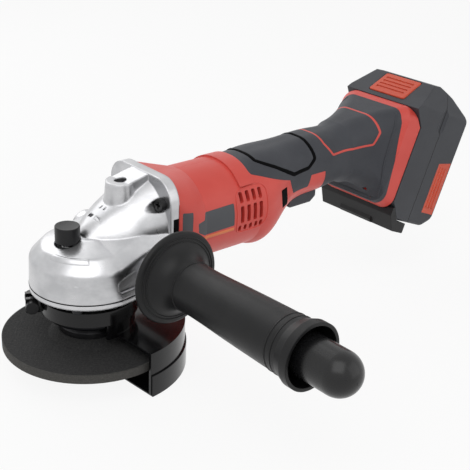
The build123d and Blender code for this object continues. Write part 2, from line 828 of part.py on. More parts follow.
with BuildPart(motor_plane.offset(front_bearing_x)) as front_motor_bearing:
    add(ball_bearing(front_seat_radius + running, front_bearing_radius, front_bearing_width))
save(front_motor_bearing, "front_motor_bearing")

with BuildPart(motor_plane.offset(rear_bearing_x)) as rear_motor_bearing:
    add(ball_bearing(pinion_seat_radius + running, rear_bearing_radius, rear_bearing_width))
save(rear_motor_bearing, "rear_motor_bearing")

slot_width = 2.4
with BuildPart() as rotor_core:
    with BuildSketch(motor_plane.offset(rotor_x)):
        Circle(rotor_radius)
        Circle(shaft_radius + seat, mode=Mode.SUBTRACT)
        with PolarLocations(rotor_radius - 3.5, rotor_slots):
            Rectangle(8, slot_width, mode=Mode.SUBTRACT)
    extrude(amount=rotor_length)
save(rotor_core, "rotor_core")

winding_head = 9.0
with BuildPart() as armature_winding:
    with BuildSketch(motor_plane.offset(rotor_x - winding_head)):
        Circle(rotor_radius - 1.5)
        Circle(shaft_radius + 2, mode=Mode.SUBTRACT)
    extrude(amount=winding_head)
    with BuildSketch(motor_plane.offset(rotor_x + rotor_length)):
        Circle(rotor_radius - 1.5)
        Circle(shaft_radius + 2, mode=Mode.SUBTRACT)
    extrude(amount=winding_head)
    with BuildSketch(motor_plane.offset(rotor_x)):
        with PolarLocations(rotor_radius - 4.2, rotor_slots):
            Rectangle(5.6, slot_width - 2 * seat)
    extrude(amount=rotor_length)
    fillet(armature_winding.faces().sort_by(Axis.X)[0].edges().sort_by(SortBy.LENGTH)[-1], 3)
    fillet(armature_winding.faces().sort_by(Axis.X)[-1].edges().sort_by(SortBy.LENGTH)[-1], 3)
save(armature_winding, "armature_winding")

with BuildPart() as commutator:
    with BuildSketch(motor_plane.offset(commutator_x)):
        Circle(commutator_radius)
        Circle(shaft_radius + seat, mode=Mode.SUBTRACT)
        with PolarLocations(commutator_radius, 2 * rotor_slots):
            Rectangle(2.4, 0.5, mode=Mode.SUBTRACT)
    extrude(amount=commutator_length)
save(commutator, "commutator")

with BuildPart() as fan:
    with BuildSketch(motor_plane.offset(fan_x)):
        Circle(fan_radius * 0.4)
        with PolarLocations(fan_radius * 0.68, fan_blades):
            Rectangle(fan_radius * 0.62, 1.6, rotation=28)
        Circle(shaft_radius + seat, mode=Mode.SUBTRACT)
    extrude(amount=fan_length)
    with BuildSketch(motor_plane.offset(fan_x + fan_length)):
        Circle(fan_radius)
        Circle(shaft_radius + seat, mode=Mode.SUBTRACT)
    extrude(amount=2)
save(fan, "fan")

cavity_radius = barrel_radius - grip_skin - housing_wall
with BuildPart() as fan_baffle:
    with BuildSketch(motor_plane.offset(can_x - 3)):
        Circle(cavity_radius - seat)
        Circle(fan_radius * 0.7, mode=Mode.SUBTRACT)
    extrude(amount=3)
save(fan_baffle, "fan_baffle")

with BuildPart() as motor_can:
    with BuildSketch(motor_plane.offset(can_x)):
        Circle(can_radius)
        Circle(can_radius - can_wall, mode=Mode.SUBTRACT)
    extrude(amount=can_length)
save(motor_can, "motor_can")

gap_reach = 2 * can_radius
gap_half = gap_reach * tan(radians((180 - magnet_span) / 2))
with BuildPart() as field_magnets:
    with BuildSketch(motor_plane.offset(rotor_x - 2)):
        Circle(can_radius - can_wall - seat)
        Circle(can_radius - can_wall - magnet_thickness, mode=Mode.SUBTRACT)
        for side in (-1, 1):
            Polygon((0, 0), (side * gap_reach, -gap_half), (side * gap_reach, gap_half), align=None,
                mode=Mode.SUBTRACT)
    extrude(amount=rotor_length + 4)
save(field_magnets, "field_magnets")

ring_x = can_x + can_length
with BuildPart(motor_plane.offset(ring_x)) as brush_ring:
    with BuildSketch(motor_plane.offset(ring_x)):
        Circle(can_radius)
        Circle(commutator_radius + 3, mode=Mode.SUBTRACT)
    extrude(amount=3)
    for side in (-1, 1):
        with Locations((0, side * (commutator_radius + 3 + brush_reach) / 2, 3)):
            Box(brush_height + 4, brush_reach - commutator_radius - 3, brush_width + 4,
                align=standing)
    with Locations((0, 0, 5)):
        Box(brush_height + 2 * seat, 4 * can_radius, brush_width + 2 * seat,
            align=standing, mode=Mode.SUBTRACT)
save(brush_ring, "brush_ring")

with BuildPart(motor_plane.offset(ring_x)) as carbon_brushes:
    for side in (-1, 1):
        with Locations((0, side * (commutator_radius + 0.1 + brush_reach - 2) / 2, 5 + seat)):
            Box(brush_height, brush_reach - 2 - commutator_radius - 0.1, brush_width,
                align=standing)
save(carbon_brushes, "carbon_brushes")

# Motor housing, handle and foot: one outer form, used at three depths
nose_sections = (
    (flange_back, flange_width + 0.4, flange_low + 0.5, flange_high - 1.0, flange_corner + 2),
    (58.0, 68.5, 47.0, 117.0, 25.0),
    (barrel_front, 2 * barrel_radius, motor_z - barrel_radius, motor_z + barrel_radius, barrel_corner),
)
waist_sections = (
    (barrel_back, 2 * barrel_radius, motor_z - barrel_radius, motor_z + barrel_radius, barrel_corner),
    (140.0, 60.0, 52.0, 115.0, 26.0),
    (150.0, 52.5, 60.5, 115.3, 22.0),
    (160.0, 46.0, 67.0, 115.6, 19.5),
    (176.0, handle_width + 1.5, 71.5, handle_high - 0.6, handle_corner),
    (205.0, handle_width, handle_low, handle_high, handle_corner),
    (handle_end, handle_width + 2.0, handle_low - 1.0, handle_high + 2.0, handle_corner),
)
neck_section = (233.0, handle_width + 4.5, handle_low - 3.0, handle_high + 4.2, handle_corner)
foot_flare = -14.0
foot_sections = (
    (foot_flare, foot_width - 3.0, -5.0, 71.0, foot_corner),
    (-free_gap, foot_width, -8.0, 76.0, foot_corner),
)


def body_form(inset: float, mouth: float) -> Part:
    """The whole outer form of housing, handle and foot, moved in by the inset and open at the mouth."""
    with BuildPart() as form:
        loft(sections=[box_section(*place, inset) for place in nose_sections])
        loft(sections=[box_section(*place, inset) for place in (nose_sections[-1], waist_sections[0])],
            ruled=True)
        loft(sections=[box_section(*place, inset) for place in waist_sections])
        flare = [box_section(*place, inset) for place in (waist_sections[-1], neck_section)]
        loft(sections=flare + [foot_section(*foot_sections[0], inset)])
        loft(sections=[foot_section(*place, inset) for place in foot_sections], ruled=True)
        if mouth:
            extrude(foot_section(*foot_sections[1], inset), mouth)
            extrude(box_section(*nose_sections[0], inset), -mouth)
    return form.part


body_outer = body_form(0, 0)
body_core = body_form(grip_skin, 0)
body_cavity = body_form(grip_skin + housing_wall, 6)

# Side outlines of the dark overmould and of the two pads set into it
stripe_line = [
    joint_point + rail_back * back + rail_up * up for back,
    up in ((-8.0, -14.0), (-18.5, 62.0), (-17.5, 90.0))
]
grip_outline = [
    (117.0, 150.0), (117.0, 109.5), (118.5, 106.3), (126.0, 104.0), (153.8, 95.0), (159.5, 83.2),
    (177.0, 83.2),
    (179.5, 92.0), (194.0, 92.0), (194.4, 40.0), (stripe_line[0].X, 40.0),
] + [(point.X, point.Z) for point in stripe_line] + [(stripe_line[-1].X, 150.0)]
front_pad_outline = [
    (127.0, 140.0), (129.0, 112.0), (141.0, 107.5), (159.7, 97.9), (175.6, 98.6), (182.0, 104.2),
    (180.5, 112.0),
    (176.0, 140.0),
]
rear_pad_outline = [(189.0, 140.0), (195.5, 112.0), (202.0, 103.6), (240.0, 104.9), (245.0, 113.0),
    (243.0, 140.0)]
front_groove = 0.8
rear_groove = 1.7

with BuildPart() as outer_skin:
    add(body_outer)
    add(body_core, mode=Mode.SUBTRACT)

with BuildPart() as front_grip_pad:
    extrude(outline(Plane.XZ, front_pad_outline, 1.5), 60, both=True)
    add(outer_skin.part, mode=Mode.INTERSECT)
save(front_grip_pad, "front_grip_pad")

with BuildPart() as rear_grip_pad:
    extrude(outline(Plane.XZ, rear_pad_outline, 1.5), 60, both=True)
    add(outer_skin.part, mode=Mode.INTERSECT)
save(rear_grip_pad, "rear_grip_pad")

# Screws that draw the two shells together: place along X and Z, and the depth of the head's seat in Y
screw_posts = (
    (146.0, 103.0, 15.0), (146.0, 66.0, 14.0), (207.0, 97.5, 9.0), (207.0, 82.0, 9.0),
    (251.0, 108.0, 17.0),
    (243.0, 67.0, 20.0),
)
with BuildPart() as screw_rooms:
    for x, z, depth in screw_posts:
        with Locations((x, depth, z)):
            Cylinder(housing_screw_head + 0.5, 60, rotation=(-90, 0, 0), align=standing)
            Cylinder(housing_screw_radius + seat, 2 * depth, rotation=(90, 0, 0),
                     align=standing)

with BuildPart() as grip_skin_whole:
    extrude(outline(Plane.XZ, grip_outline, 1.0), 60, both=True)
    extrude(offset(outline(Plane.XZ, front_pad_outline, 1.5), front_groove, mode=Mode.PRIVATE), 60,
        both=True,
            mode=Mode.SUBTRACT)
    extrude(offset(outline(Plane.XZ, rear_pad_outline, 1.5), rear_groove, mode=Mode.PRIVATE), 60,
        both=True,
            mode=Mode.SUBTRACT)
    add(screw_rooms.part, mode=Mode.SUBTRACT)
    add(outer_skin.part, mode=Mode.INTERSECT)

for side, keep in (("left", Keep.TOP), ("right", Keep.BOTTOM)):
    with BuildPart() as grip_half:
        add(grip_skin_whole.part)
        split(bisect_by=Plane.XZ, keep=keep)
    save(grip_half, f"grip_overmould_{side}")

# Name plate and inlay on each side of the barrel, both left plain
label_outline = [(63.5, 87.5), (69.5, 88.2), (71.0, 92.8), (96.0, 93.2), (96.0, 77.6), (70.0, 77.2),
    (64.0, 80.8)]
label_depth = 0.9
inlay_outline = [(50.5, 80.0), (58.5, 82.0), (59.0, 96.5), (50.5, 98.0)]
body_skin = body_form(label_depth, 0)
with BuildPart() as thin_skin:
    add(body_outer)
    add(body_skin, mode=Mode.SUBTRACT)

with BuildPart() as label_plates:
    extrude(outline(Plane.XZ, label_outline, 0.8), 60, both=True)
    add(thin_skin.part, mode=Mode.INTERSECT)
save(label_plates, "label_plates")

with BuildPart() as inlay_pads:
    extrude(outline(Plane.XZ, inlay_outline, 0.8), 60, both=True)
    add(thin_skin.part, mode=Mode.INTERSECT)
save(inlay_pads, "inlay_pads")

with BuildPart() as saddle:
    loft(sections=[
        box_section(x, 2 * barrel_radius, motor_z - barrel_radius, motor_z + barrel_radius,
            barrel_corner, -saddle_rise)
        for x in (saddle_front, saddle_back)
    ], ruled=True)
    with Locations((saddle_front, 0, saddle_low)):
        Box(200, 200, 200, align=standing, mode=Mode.INTERSECT)
    add(body_core, mode=Mode.SUBTRACT)

# Pieces moulded inside the shells: posts, pivots, motor ribs, rear web and rests for switch and board
switch_front = 172.0
switch_back = 200.0
switch_half_width = 9.0
switch_high = 108.0
switch_middle = (switch_low + switch_high) / 2
board_front = 213.0
board_back = 238.0
board_half_width = 13.0
board_z = 92.0
board_thickness = 1.6
flange_posts = [(flange_back, side * flange_screw_y, z) for side in (-1, 1) for z in (flange_screw_low,
    flange_screw_high)]
with BuildPart() as fittings:
    with Locations(*[(x, 0, z) for x, z, depth in screw_posts]):
        Cylinder(housing_screw_radius + 3.2, 120, rotation=(90, 0, 0))
    with Locations((trigger_pivot[0], 0, trigger_pivot[1])):
        Cylinder(trigger_pin_radius + 2.5, 120, rotation=(90, 0, 0))
    for rib_x in (can_x + 4, can_x + can_length - 8):
        with BuildSketch(motor_plane.offset(rib_x)):
            Circle(cavity_radius + 1)
            Circle(can_radius + seat, mode=Mode.SUBTRACT)
        extrude(amount=3)
    with BuildSketch(motor_plane.offset(rear_bearing_x)):
        Circle(rear_bearing_radius + 3.5)
        Rectangle(9, 80)
    extrude(amount=rear_bearing_width)
    with Locations(*flange_posts):
        Cylinder(4.5, flange_screw_grip + 2, rotation=(0, 90, 0), align=standing)
    with Locations((switch_front + 6, 0, switch_middle), (switch_back - 6, 0, switch_middle)):
        Box(4, 120, 11)
    with Locations((board_front + 5, 0, board_z), (board_back - 5, 0, board_z)):
        Box(4, 120, 4, align=hanging)
    with Locations(((switch_front + switch_back) / 2, 0, switch_middle)):
        Box(switch_back - switch_front, 2 * (switch_half_width + seat), 20, mode=Mode.SUBTRACT)
    with Locations(((board_front + board_back) / 2, 0, board_z)):
        Box(board_back - board_front, 2 * (board_half_width - 4), 20, mode=Mode.SUBTRACT)
    add(body_outer, mode=Mode.INTERSECT)

# Openings: bearing and screw seats, the trigger's slot, louvres and the foot's bent top edge
vent_columns = (103.2, 109.0, 114.7, 120.2)
vent_width = 3.0
vent_rows = ((95.2, 7.0), (83.5, 12.0))
small_vents = (101.4, 106.3, 111.2, 116.1, 120.4)
small_vent_z = 73.8
slot_front = trigger_front - 4.5
slot_back = trigger_back + 2.2
slot_half_width = trigger_half_width + 0.8
with BuildPart() as openings:
    add(screw_rooms.part)
    with BuildSketch(motor_plane.offset(rear_bearing_x - 1)):
        Circle(rear_bearing_radius + seat)
    extrude(amount=rear_bearing_width + 1.5)
    with Locations(*flange_posts):
        Cylinder(flange_screw_radius + seat, 2 * flange_screw_grip, rotation=(0, 90, 0))
    with Locations(((slot_front + slot_back) / 2, 0, trigger_low - 6)):
        Box(slot_back - slot_front, 2 * slot_half_width, trigger_high - trigger_low + 8,
            align=standing)
    with Locations((trigger_pivot[0], 0, trigger_pivot[1])):
        Cylinder(trigger_pin_radius + seat, 32, rotation=(90, 0, 0))
    for end in (20.0, -60.0):
        with BuildSketch(Plane.XZ.offset(end)):
            for z, length in vent_rows:
                with Locations(*[(x, z) for x in vent_columns]):
                    RectangleRounded(vent_width, length, 0.9)
            with Locations(*[(x, small_vent_z) for x in small_vents]):
                RectangleRounded(2.5, 4.0, 0.9)
        extrude(amount=40)
    extrude(outline(pack_side, [(-0.9, 60.0), (-30.9, 94.1), (10.0, 94.1), (10.0, 60.0)]), 60, both=True)

skins = [piece.part for piece in (grip_skin_whole, front_grip_pad, rear_grip_pad, label_plates,
    inlay_pads)]
with BuildPart() as housing_whole:
    add(body_outer)
    add(body_cavity, mode=Mode.SUBTRACT)
    add([fittings.part, saddle.part])
    add([openings.part] + skins, mode=Mode.SUBTRACT)

for side, keep in (("left", Keep.TOP), ("right", Keep.BOTTOM)):
    with BuildPart() as housing_half:
        add(housing_whole.part)
        split(bisect_by=Plane.XZ, keep=keep)
    save(housing_half, f"housing_{side}")

with BuildPart() as housing_screws:
    for x, z, depth in screw_posts:
        with Locations((x, depth, z)):
            Cylinder(housing_screw_head, 3, rotation=(-90, 0, 0), align=standing)
            Cylinder(housing_screw_radius, 2 * depth - 4, rotation=(90, 0, 0), align=standing)
save(housing_screws, "housing_screws")

# Trigger on its cross pin, with the spring that pushes it away from the switch
with BuildPart() as trigger:
    with BuildSketch(Plane.XZ) as trigger_side:
        with BuildLine():
            Polyline(
                (trigger_front + 0.5, trigger_low + 1.5), (trigger_front + 2.5, trigger_low),
                (trigger_back - 4, trigger_low), (trigger_back, trigger_low + 3),
                (trigger_back, trigger_high - 4), (trigger_back - 2, trigger_high),
                (trigger_front + 2.5, trigger_high),
                (trigger_front, trigger_high - 4), close=True,
            )
        make_face()
        fillet(trigger_side.vertices().group_by(Axis.Y)[0], 1)
    extrude(amount=trigger_half_width, both=True)
    fillet(trigger.edges().filter_by(Axis.X).group_by(Axis.Z)[0], 2.5)
    with Locations((trigger_pivot[0], 0, trigger_pivot[1])):
        Cylinder(trigger_pin_radius + running, 60, rotation=(90, 0, 0), mode=Mode.SUBTRACT)
save(trigger, "trigger")

with BuildPart() as trigger_pin:
    with Locations((trigger_pivot[0], 0, trigger_pivot[1])):
        Cylinder(trigger_pin_radius, 31.6, rotation=(90, 0, 0))
save(trigger_pin, "trigger_pin")

trigger_spring_x = trigger_back - 6
with BuildPart() as trigger_spring:
    with Locations((trigger_spring_x, 0, trigger_high + seat)):
        add(coil(3.0, 0.6, switch_low - trigger_high - 2 * seat, 4))
save(trigger_spring, "trigger_spring")

with BuildPart() as switch_module:
    with Locations(((switch_front + switch_back) / 2, 0, switch_low)):
        Box(switch_back - switch_front, 2 * switch_half_width, switch_high - switch_low,
            align=standing)
    fillet(switch_module.edges().filter_by(Axis.Y), 1)
    with Locations((switch_front + 6, 0, switch_low)):
        Cylinder(2, 4, align=hanging)
save(switch_module, "switch_module")

with BuildPart() as control_board:
    with Locations(((board_front + board_back) / 2, 0, board_z)):
        Box(board_back - board_front, 2 * board_half_width, board_thickness, align=standing)
    with Locations(((board_front + board_back) / 2 - 6, 0, board_z + board_thickness),
                   ((board_front + board_back) / 2 + 7, 5, board_z + board_thickness)):
        Box(8, 8, 3, align=standing)
save(control_board, "control_board")

# Rail that carries the battery, set into the mouth of the foot
mouth_inset = grip_skin + housing_wall + seat
blade_places = (-15.0, -5.0, 5.0, 15.0)
blade_thickness = 1.0
blade_low = 48.0
blade_high = 66.0
with BuildPart() as battery_rail:
    extrude(outline(pack_side, [
        (-rail_clearance, -8.0), (-rail_clearance, 59.7), (-10.0, 70.4), (-13.4, 67.2), (-6.0, 58.8),
        (-6.0, -8.0),
    ]), foot_width / 2, both=True)
    loft(sections=[foot_section(*place, mouth_inset) for place in foot_sections], ruled=True,
        mode=Mode.INTERSECT)
    extrude(outline(pack_side,
        [(-3.0, 2.0), (-3.0, rail_top), (rail_depth, rail_top), (rail_depth, 2.0)]), rail_neck,
        both=True)
    extrude(outline(pack_side, [
        (rail_lip + rail_clearance, 2.0), (rail_lip + rail_clearance, rail_top), (rail_depth, rail_top),
        (rail_depth, 2.0),
    ]), rail_half_width, both=True)
    extrude(outline(pack_side, [
        (rail_lip + rail_clearance, 4.0), (rail_depth, 4.0), (rail_depth, -16.0), (stop_back, -15.2),
        (stop_back, -23.0),
        (rail_lip + rail_clearance + 2, -23.0), (rail_lip + rail_clearance, -21.0),
    ]), rail_neck, both=True)
    extrude(outline(pack_side, [
        (1.2, -3.0), (11.3, -14.8), (stop_back, -14.8), (stop_back, -23.0), (9.0, -23.0), (1.2, -11.5),
    ], 1.0), battery_half_width + 0.8, both=True)
    for place in blade_places:
        with Locations(joint_plane.offset(8.0)):
            with Locations((place, (blade_low + blade_high) / 2, 0)):
                Box(blade_thickness + 2 * seat, blade_high - blade_low, 3.2 + 2 * seat,
                    mode=Mode.SUBTRACT)
save(battery_rail, "battery_rail")

with BuildPart() as tool_terminals:
    for place in blade_places:
        with Locations(joint_plane.offset(8.0)):
            with Locations((place, (blade_low + blade_high) / 2 + seat, 0)):
                Box(blade_thickness, blade_high - blade_low, 3.2)
save(tool_terminals, "tool_terminals")

# Battery: front case and rear cover round the cells
battery_outline = [
    (12.0, -14.0), (46.0, -14.0), (57.0, -6.6), (57.6, 78.0), (37.0, 88.5), (16.0, 94.5), (8.0, 93.5),
    (-11.5, 72.5),
    (0.0, 60.0), (0.0, 0.0),
]
cavity_outline = [(13.0, -11.5), (46.0, -11.5), (55.0, -5.5), (55.0, 76.8), (36.0, 86.5), (22.0, 86.5),
    (13.0, 77.2)]
battery_round = 8.0
channel_half_width = rail_neck + rail_clearance
undercut_half_width = rail_half_width + rail_clearance
panel_outline = [(39.5, -3.0), (54.8, -3.0), (54.8, 41.0), (39.5, 38.0)]
panel_depth = 1.2
scoop_back = 25.0
scoop_low = 64.0
scoop_radius = 6.0
scoop_axis = battery_half_width + 4.5
battery_inner = battery_half_width - battery_wall
terminal_top = 69.0
screw_places = ((-28.5, 7.2), (28.5, 7.2), (-28.5, 44.8), (28.5, 44.8))
release_face = joint_point - rail_back * 0.9 + rail_up * 84.9
release_out = (rail_up * 0.7 - rail_back * 0.714).normalized()
release_plane = Plane(origin=release_face, x_dir=(0, 1, 0), z_dir=release_out)
with BuildPart() as battery_whole:
    with BuildSketch(pack_side) as battery_face:
        with BuildLine():
            Polyline(*battery_outline, close=True)
        make_face()
        fillet(battery_face.vertices().filter_by(lambda corner: corner.X > 40), battery_round)
    extrude(amount=battery_half_width, both=True)
    with BuildSketch(joint_plane.offset(20)) as front_view:
        with BuildLine():
            half = battery_half_width
            Polyline((-half, -30), (-half, 76), (-half + 8, 96), (half - 8, 96), (half, 76), (half, -30),
                close=True)
        make_face()
        fillet(front_view.vertices(), 5)
    extrude(amount=100, both=True, mode=Mode.INTERSECT)
    back_faces = battery_whole.faces().filter_by(lambda face: face.normal_at().dot(rail_back) > 0.99)
    fillet(back_faces.edges().filter_by(lambda edge: abs((edge % 0.5).dot(rail_up)) > 0.99), 2.5)
    extrude(outline(pack_side, cavity_outline), battery_inner, both=True, mode=Mode.SUBTRACT)
    extrude(outline(pack_side, [(-12.0, -20.0), (-12.0, 60.0), (11.0, 60.0), (11.0, -20.0)]),
        channel_half_width, both=True,
            mode=Mode.SUBTRACT)
    extrude(outline(pack_side, [(rail_lip, -20.0), (rail_lip, 60.0), (11.0, 60.0), (11.0, -20.0)]),
        undercut_half_width,
            both=True, mode=Mode.SUBTRACT)
    extrude(outline(pack_side,
        [(rail_lip + 0.6, 59.0), (rail_lip + 0.6, terminal_top), (10.4, terminal_top), (10.4, 59.0)]),
            rail_half_width - 1, both=True, mode=Mode.SUBTRACT)
    with BuildSketch(release_plane.offset(-release_depth - release_travel - 1)):
        RectangleRounded(2 * (release_half_width + free_gap), release_length + 2 * free_gap, 2.4)
    extrude(amount=40, mode=Mode.SUBTRACT)
    for side in (-1, 1):
        with BuildSketch(pack_side.offset(side * battery_half_width)):
            with BuildLine():
                Polyline(*panel_outline, close=True)
            make_face()
        extrude(amount=-side * panel_depth, mode=Mode.SUBTRACT)
        with Locations(pack_side):
            with Locations((scoop_back, scoop_low, side * scoop_axis)):
                Cylinder(scoop_radius, 50, rotation=(-90, 0, 0), align=standing, mode=Mode.SUBTRACT)
                Sphere(scoop_radius, mode=Mode.SUBTRACT)
    for place, up in screw_places:
        with Locations(joint_plane):
            with Locations((place, up, 2.6)):
                Cylinder(3.1, 20, align=hanging, mode=Mode.SUBTRACT)
                Cylinder(1.5 + seat, 12, align=standing, mode=Mode.SUBTRACT)

seam_plane = joint_plane.offset(battery_seam)
for name, keep in (("battery_case", Keep.BOTTOM), ("battery_cover", Keep.TOP)):
    with BuildPart() as battery_shell:
        add(battery_whole.part)
        split(bisect_by=seam_plane, keep=keep)
    save(battery_shell, name)

cell_places = [(first_cell[0] + cell_pitch * row,
    first_cell[1] + cell_pitch * k) for row in range(2) for k in range(5)]
with BuildPart() as battery_cells:
    with BuildSketch(pack_side):
        with Locations(*cell_places):
            Circle(cell_radius)
    extrude(amount=cell_length / 2, both=True)
save(battery_cells, "battery_cells")

holder_inner = 26.0
holder_outer = 31.0
with BuildPart() as cell_holder:
    for side in (-1, 1):
        with BuildSketch(pack_side.offset(side * holder_inner)):
            with BuildLine():
                Polyline(*cavity_outline, close=True)
            make_face()
            offset(amount=-seat, mode=Mode.REPLACE)
            with Locations(*cell_places):
                Circle(cell_radius + seat, mode=Mode.SUBTRACT)
        extrude(amount=side * (holder_outer - holder_inner))
    for place, up in screw_places:
        with Locations(joint_plane):
            with Locations((place, up, 0)):
                Cylinder(1.5 + seat, 40, mode=Mode.SUBTRACT)
save(cell_holder, "cell_holder")

with BuildPart() as battery_board:
    extrude(outline(pack_side, [(13.0 + seat, 4.0), (14.2, 4.0), (14.2, 70.0), (13.0 + seat, 70.0)]),
        holder_inner - 1, both=True)
save(battery_board, "battery_board")

with BuildPart() as battery_contacts:
    for place in blade_places:
        with Locations(joint_plane.offset(8.0)):
            with Locations((place, blade_high + 0.4, 0)):
                Box(3, terminal_top - blade_high - 0.4 - seat, 3.6,
                    align=(Align.CENTER, Align.MIN, Align.CENTER))
save(battery_contacts, "battery_contacts")

with BuildPart() as battery_screws:
    for place, up in screw_places:
        with Locations(joint_plane):
            with Locations((place, up, 2.6)):
                Cylinder(2.8, 2, align=hanging)
                Cylinder(1.5, 14, align=standing)
save(battery_screws, "battery_screws")

with BuildPart() as battery_side_panels:
    for side in (-1, 1):
        with BuildSketch(pack_side.offset(side * battery_half_width)):
            with BuildLine():
                Polyline(*panel_outline, close=True)
            make_face()
            offset(amount=-seat, mode=Mode.REPLACE)
        extrude(amount=-side * (panel_depth - seat))
save(battery_side_panels, "battery_side_panels")

with BuildPart() as battery_release_button:
    with BuildSketch(release_plane):
        RectangleRounded(2 * release_half_width, release_length, 2)
    extrude(amount=-release_depth)
    button_faces = battery_release_button.faces()
    pressed_face = button_faces.filter_by(lambda face: face.normal_at().dot(release_out) > 0.99)
    fillet(pressed_face.edges(), 1)
    with Locations(release_plane):
        with Locations(*[(0, -6 + 4 * k, 0) for k in range(4)]):
            Box(2 * release_half_width - 8, 1.6, 1.4, mode=Mode.SUBTRACT)
save(battery_release_button, "battery_release_button")

# Side handle: a grip with a hand flange on a core that carries the screwed stud
stud_depth = thread_depth - 1.0
stud_end = handle_boss_reach + 26.0
core_front = handle_boss_reach + seat
with BuildPart() as handle_stud:
    with Locations((handle_x, -(handle_boss_reach - stud_depth), handle_z)):
        Cylinder(thread_radius, stud_end - handle_boss_reach + stud_depth, rotation=(90, 0, 0),
                 align=standing)
save(handle_stud, "handle_stud")

with BuildPart() as side_handle_core:
    with BuildSketch(handle_profile):
        with BuildLine():
            dome = CenterArc((core_tip - core_radius, 0), core_radius, 0, 90)
            Polyline(dome @ 1, (core_front, core_radius), (core_front, thread_radius + seat),
                     (stud_end + seat, thread_radius + seat), (stud_end + seat, 0), dome @ 0)
        make_face()
    revolve(axis=handle_axis)
save(side_handle_core, "side_handle_core")

bore = core_radius + seat
mouth_depth = 150.0
with BuildPart() as side_handle_grip:
    with BuildSketch(handle_profile):
        with BuildLine():
            Polyline((core_front, bore), (core_front, bore + 0.8), (50.0, bore + 1.2), (52.5, 24.0),
                (54.5, 29.6))
            ThreePointArc((54.5, 29.6), (56.5, hand_flange_radius), (58.4, 29.6))
            Line((58.4, 29.6), (58.8, 27.6))
            Spline((58.8, 27.6), (63.0, 20.0), (72.0, grip_start_radius),
                tangents=((0.25, -1), (1, -0.05)))
            Spline((72.0, grip_start_radius), (110.0, 16.8), (166.0, grip_end_radius),
                tangents=((1, -0.05), (1, 0.02)))
            Polyline((166.0, grip_end_radius), (171.5, grip_rim_radius - 0.4), (172.5, grip_rim_radius),
                     (grip_end, grip_rim_radius), (grip_end, grip_rim_radius - 2.1),
                     (mouth_depth, bore + 3.0),
                     (mouth_depth, bore), (core_front, bore))
        make_face()
    revolve(axis=handle_axis)
save(side_handle_grip, "side_handle_grip")
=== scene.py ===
"""Looks of a cordless angle grinder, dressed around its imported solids.

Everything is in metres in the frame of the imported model: the spindle turns about Z, the battery lies at +X
and the side handle points along -Y.
"""

from __future__ import annotations

import logging
import math
from dataclasses import dataclass, replace
from enum import Enum
from typing import Any, Callable, Sequence

import bmesh
import bpy
from mathutils import Matrix, Vector
from mathutils.bvhtree import BVHTree


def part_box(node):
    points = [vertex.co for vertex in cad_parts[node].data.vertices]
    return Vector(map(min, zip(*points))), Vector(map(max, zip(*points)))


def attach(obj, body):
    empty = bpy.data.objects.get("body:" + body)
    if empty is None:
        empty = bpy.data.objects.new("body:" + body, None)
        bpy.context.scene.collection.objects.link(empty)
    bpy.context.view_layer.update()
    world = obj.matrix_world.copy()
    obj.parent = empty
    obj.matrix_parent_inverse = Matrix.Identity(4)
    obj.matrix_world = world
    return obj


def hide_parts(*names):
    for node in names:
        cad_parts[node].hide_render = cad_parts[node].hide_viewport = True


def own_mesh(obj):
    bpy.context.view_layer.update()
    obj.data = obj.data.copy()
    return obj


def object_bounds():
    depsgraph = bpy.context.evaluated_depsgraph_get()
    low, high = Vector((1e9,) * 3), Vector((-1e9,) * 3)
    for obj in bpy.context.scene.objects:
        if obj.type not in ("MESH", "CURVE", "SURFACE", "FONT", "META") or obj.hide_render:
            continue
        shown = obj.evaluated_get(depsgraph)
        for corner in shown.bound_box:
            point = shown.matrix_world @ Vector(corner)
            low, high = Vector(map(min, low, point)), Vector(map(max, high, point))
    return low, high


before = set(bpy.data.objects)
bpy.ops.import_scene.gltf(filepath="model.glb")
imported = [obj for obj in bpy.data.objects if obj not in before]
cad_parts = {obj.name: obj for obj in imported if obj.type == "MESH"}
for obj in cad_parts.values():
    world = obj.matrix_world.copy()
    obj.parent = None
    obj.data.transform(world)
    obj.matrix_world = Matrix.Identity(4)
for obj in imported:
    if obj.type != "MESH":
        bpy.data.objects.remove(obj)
CAD_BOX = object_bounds()
LOG = logging.getLogger("grinder")

Mesh = bmesh.types.BMesh
Socket = bpy.types.NodeSocket
Material = bpy.types.Material
Point = tuple[float, float]
Triple = tuple[float, float, float]
Colour = tuple[float, float, float]
Ray = tuple[Vector, Vector]
Spot = tuple[Vector, Vector]
Aim = Callable[[float, float], Ray]

X_AXIS = Vector((1, 0, 0))
Y_AXIS = Vector((0, 1, 0))
Z_AXIS = Vector((0, 0, 1))
DOWN = Vector((0, 0, -1))

# The joint face between foot and battery, tilted back from upright, and the battery's seam behind it
BATTERY_TILT = math.radians(22.5)
RAIL_UP = Vector((math.sin(BATTERY_TILT), 0, math.cos(BATTERY_TILT)))
RAIL_BACK = Vector((math.cos(BATTERY_TILT), 0, -math.sin(BATTERY_TILT)))
JOINT = Vector((0.256, 0, 0.0585))
SEAM = 0.026

NOISE_MIDDLE = 0.5
BEVEL_SAMPLES = 6
# Sockets of a Mix node that mixes colours
MIX_FACTOR, MIX_FIRST, MIX_SECOND, MIX_RESULT = 0, 6, 7, 2

SIDE_DISTANCE = 0.3
BEAD_SIDES = 8
SMOOTHING_PASSES = 4
PATCH_SINK = 0.0004


class Side(Enum):
    """The side of the tool that a piece lies on, as its sign along Y."""

    NEAR = -1
    FAR = 1

    def out(self) -> Vector:
        """Unit vector that points out of the side."""
        return Vector((0, self.value, 0))

    def aim(self, x: float, z: float) -> Ray:
        """Start and direction of the ray that looks square at the side, at one place."""
        return Vector((x, self.value * SIDE_DISTANCE, z)), Vector((0, -self.value, 0))


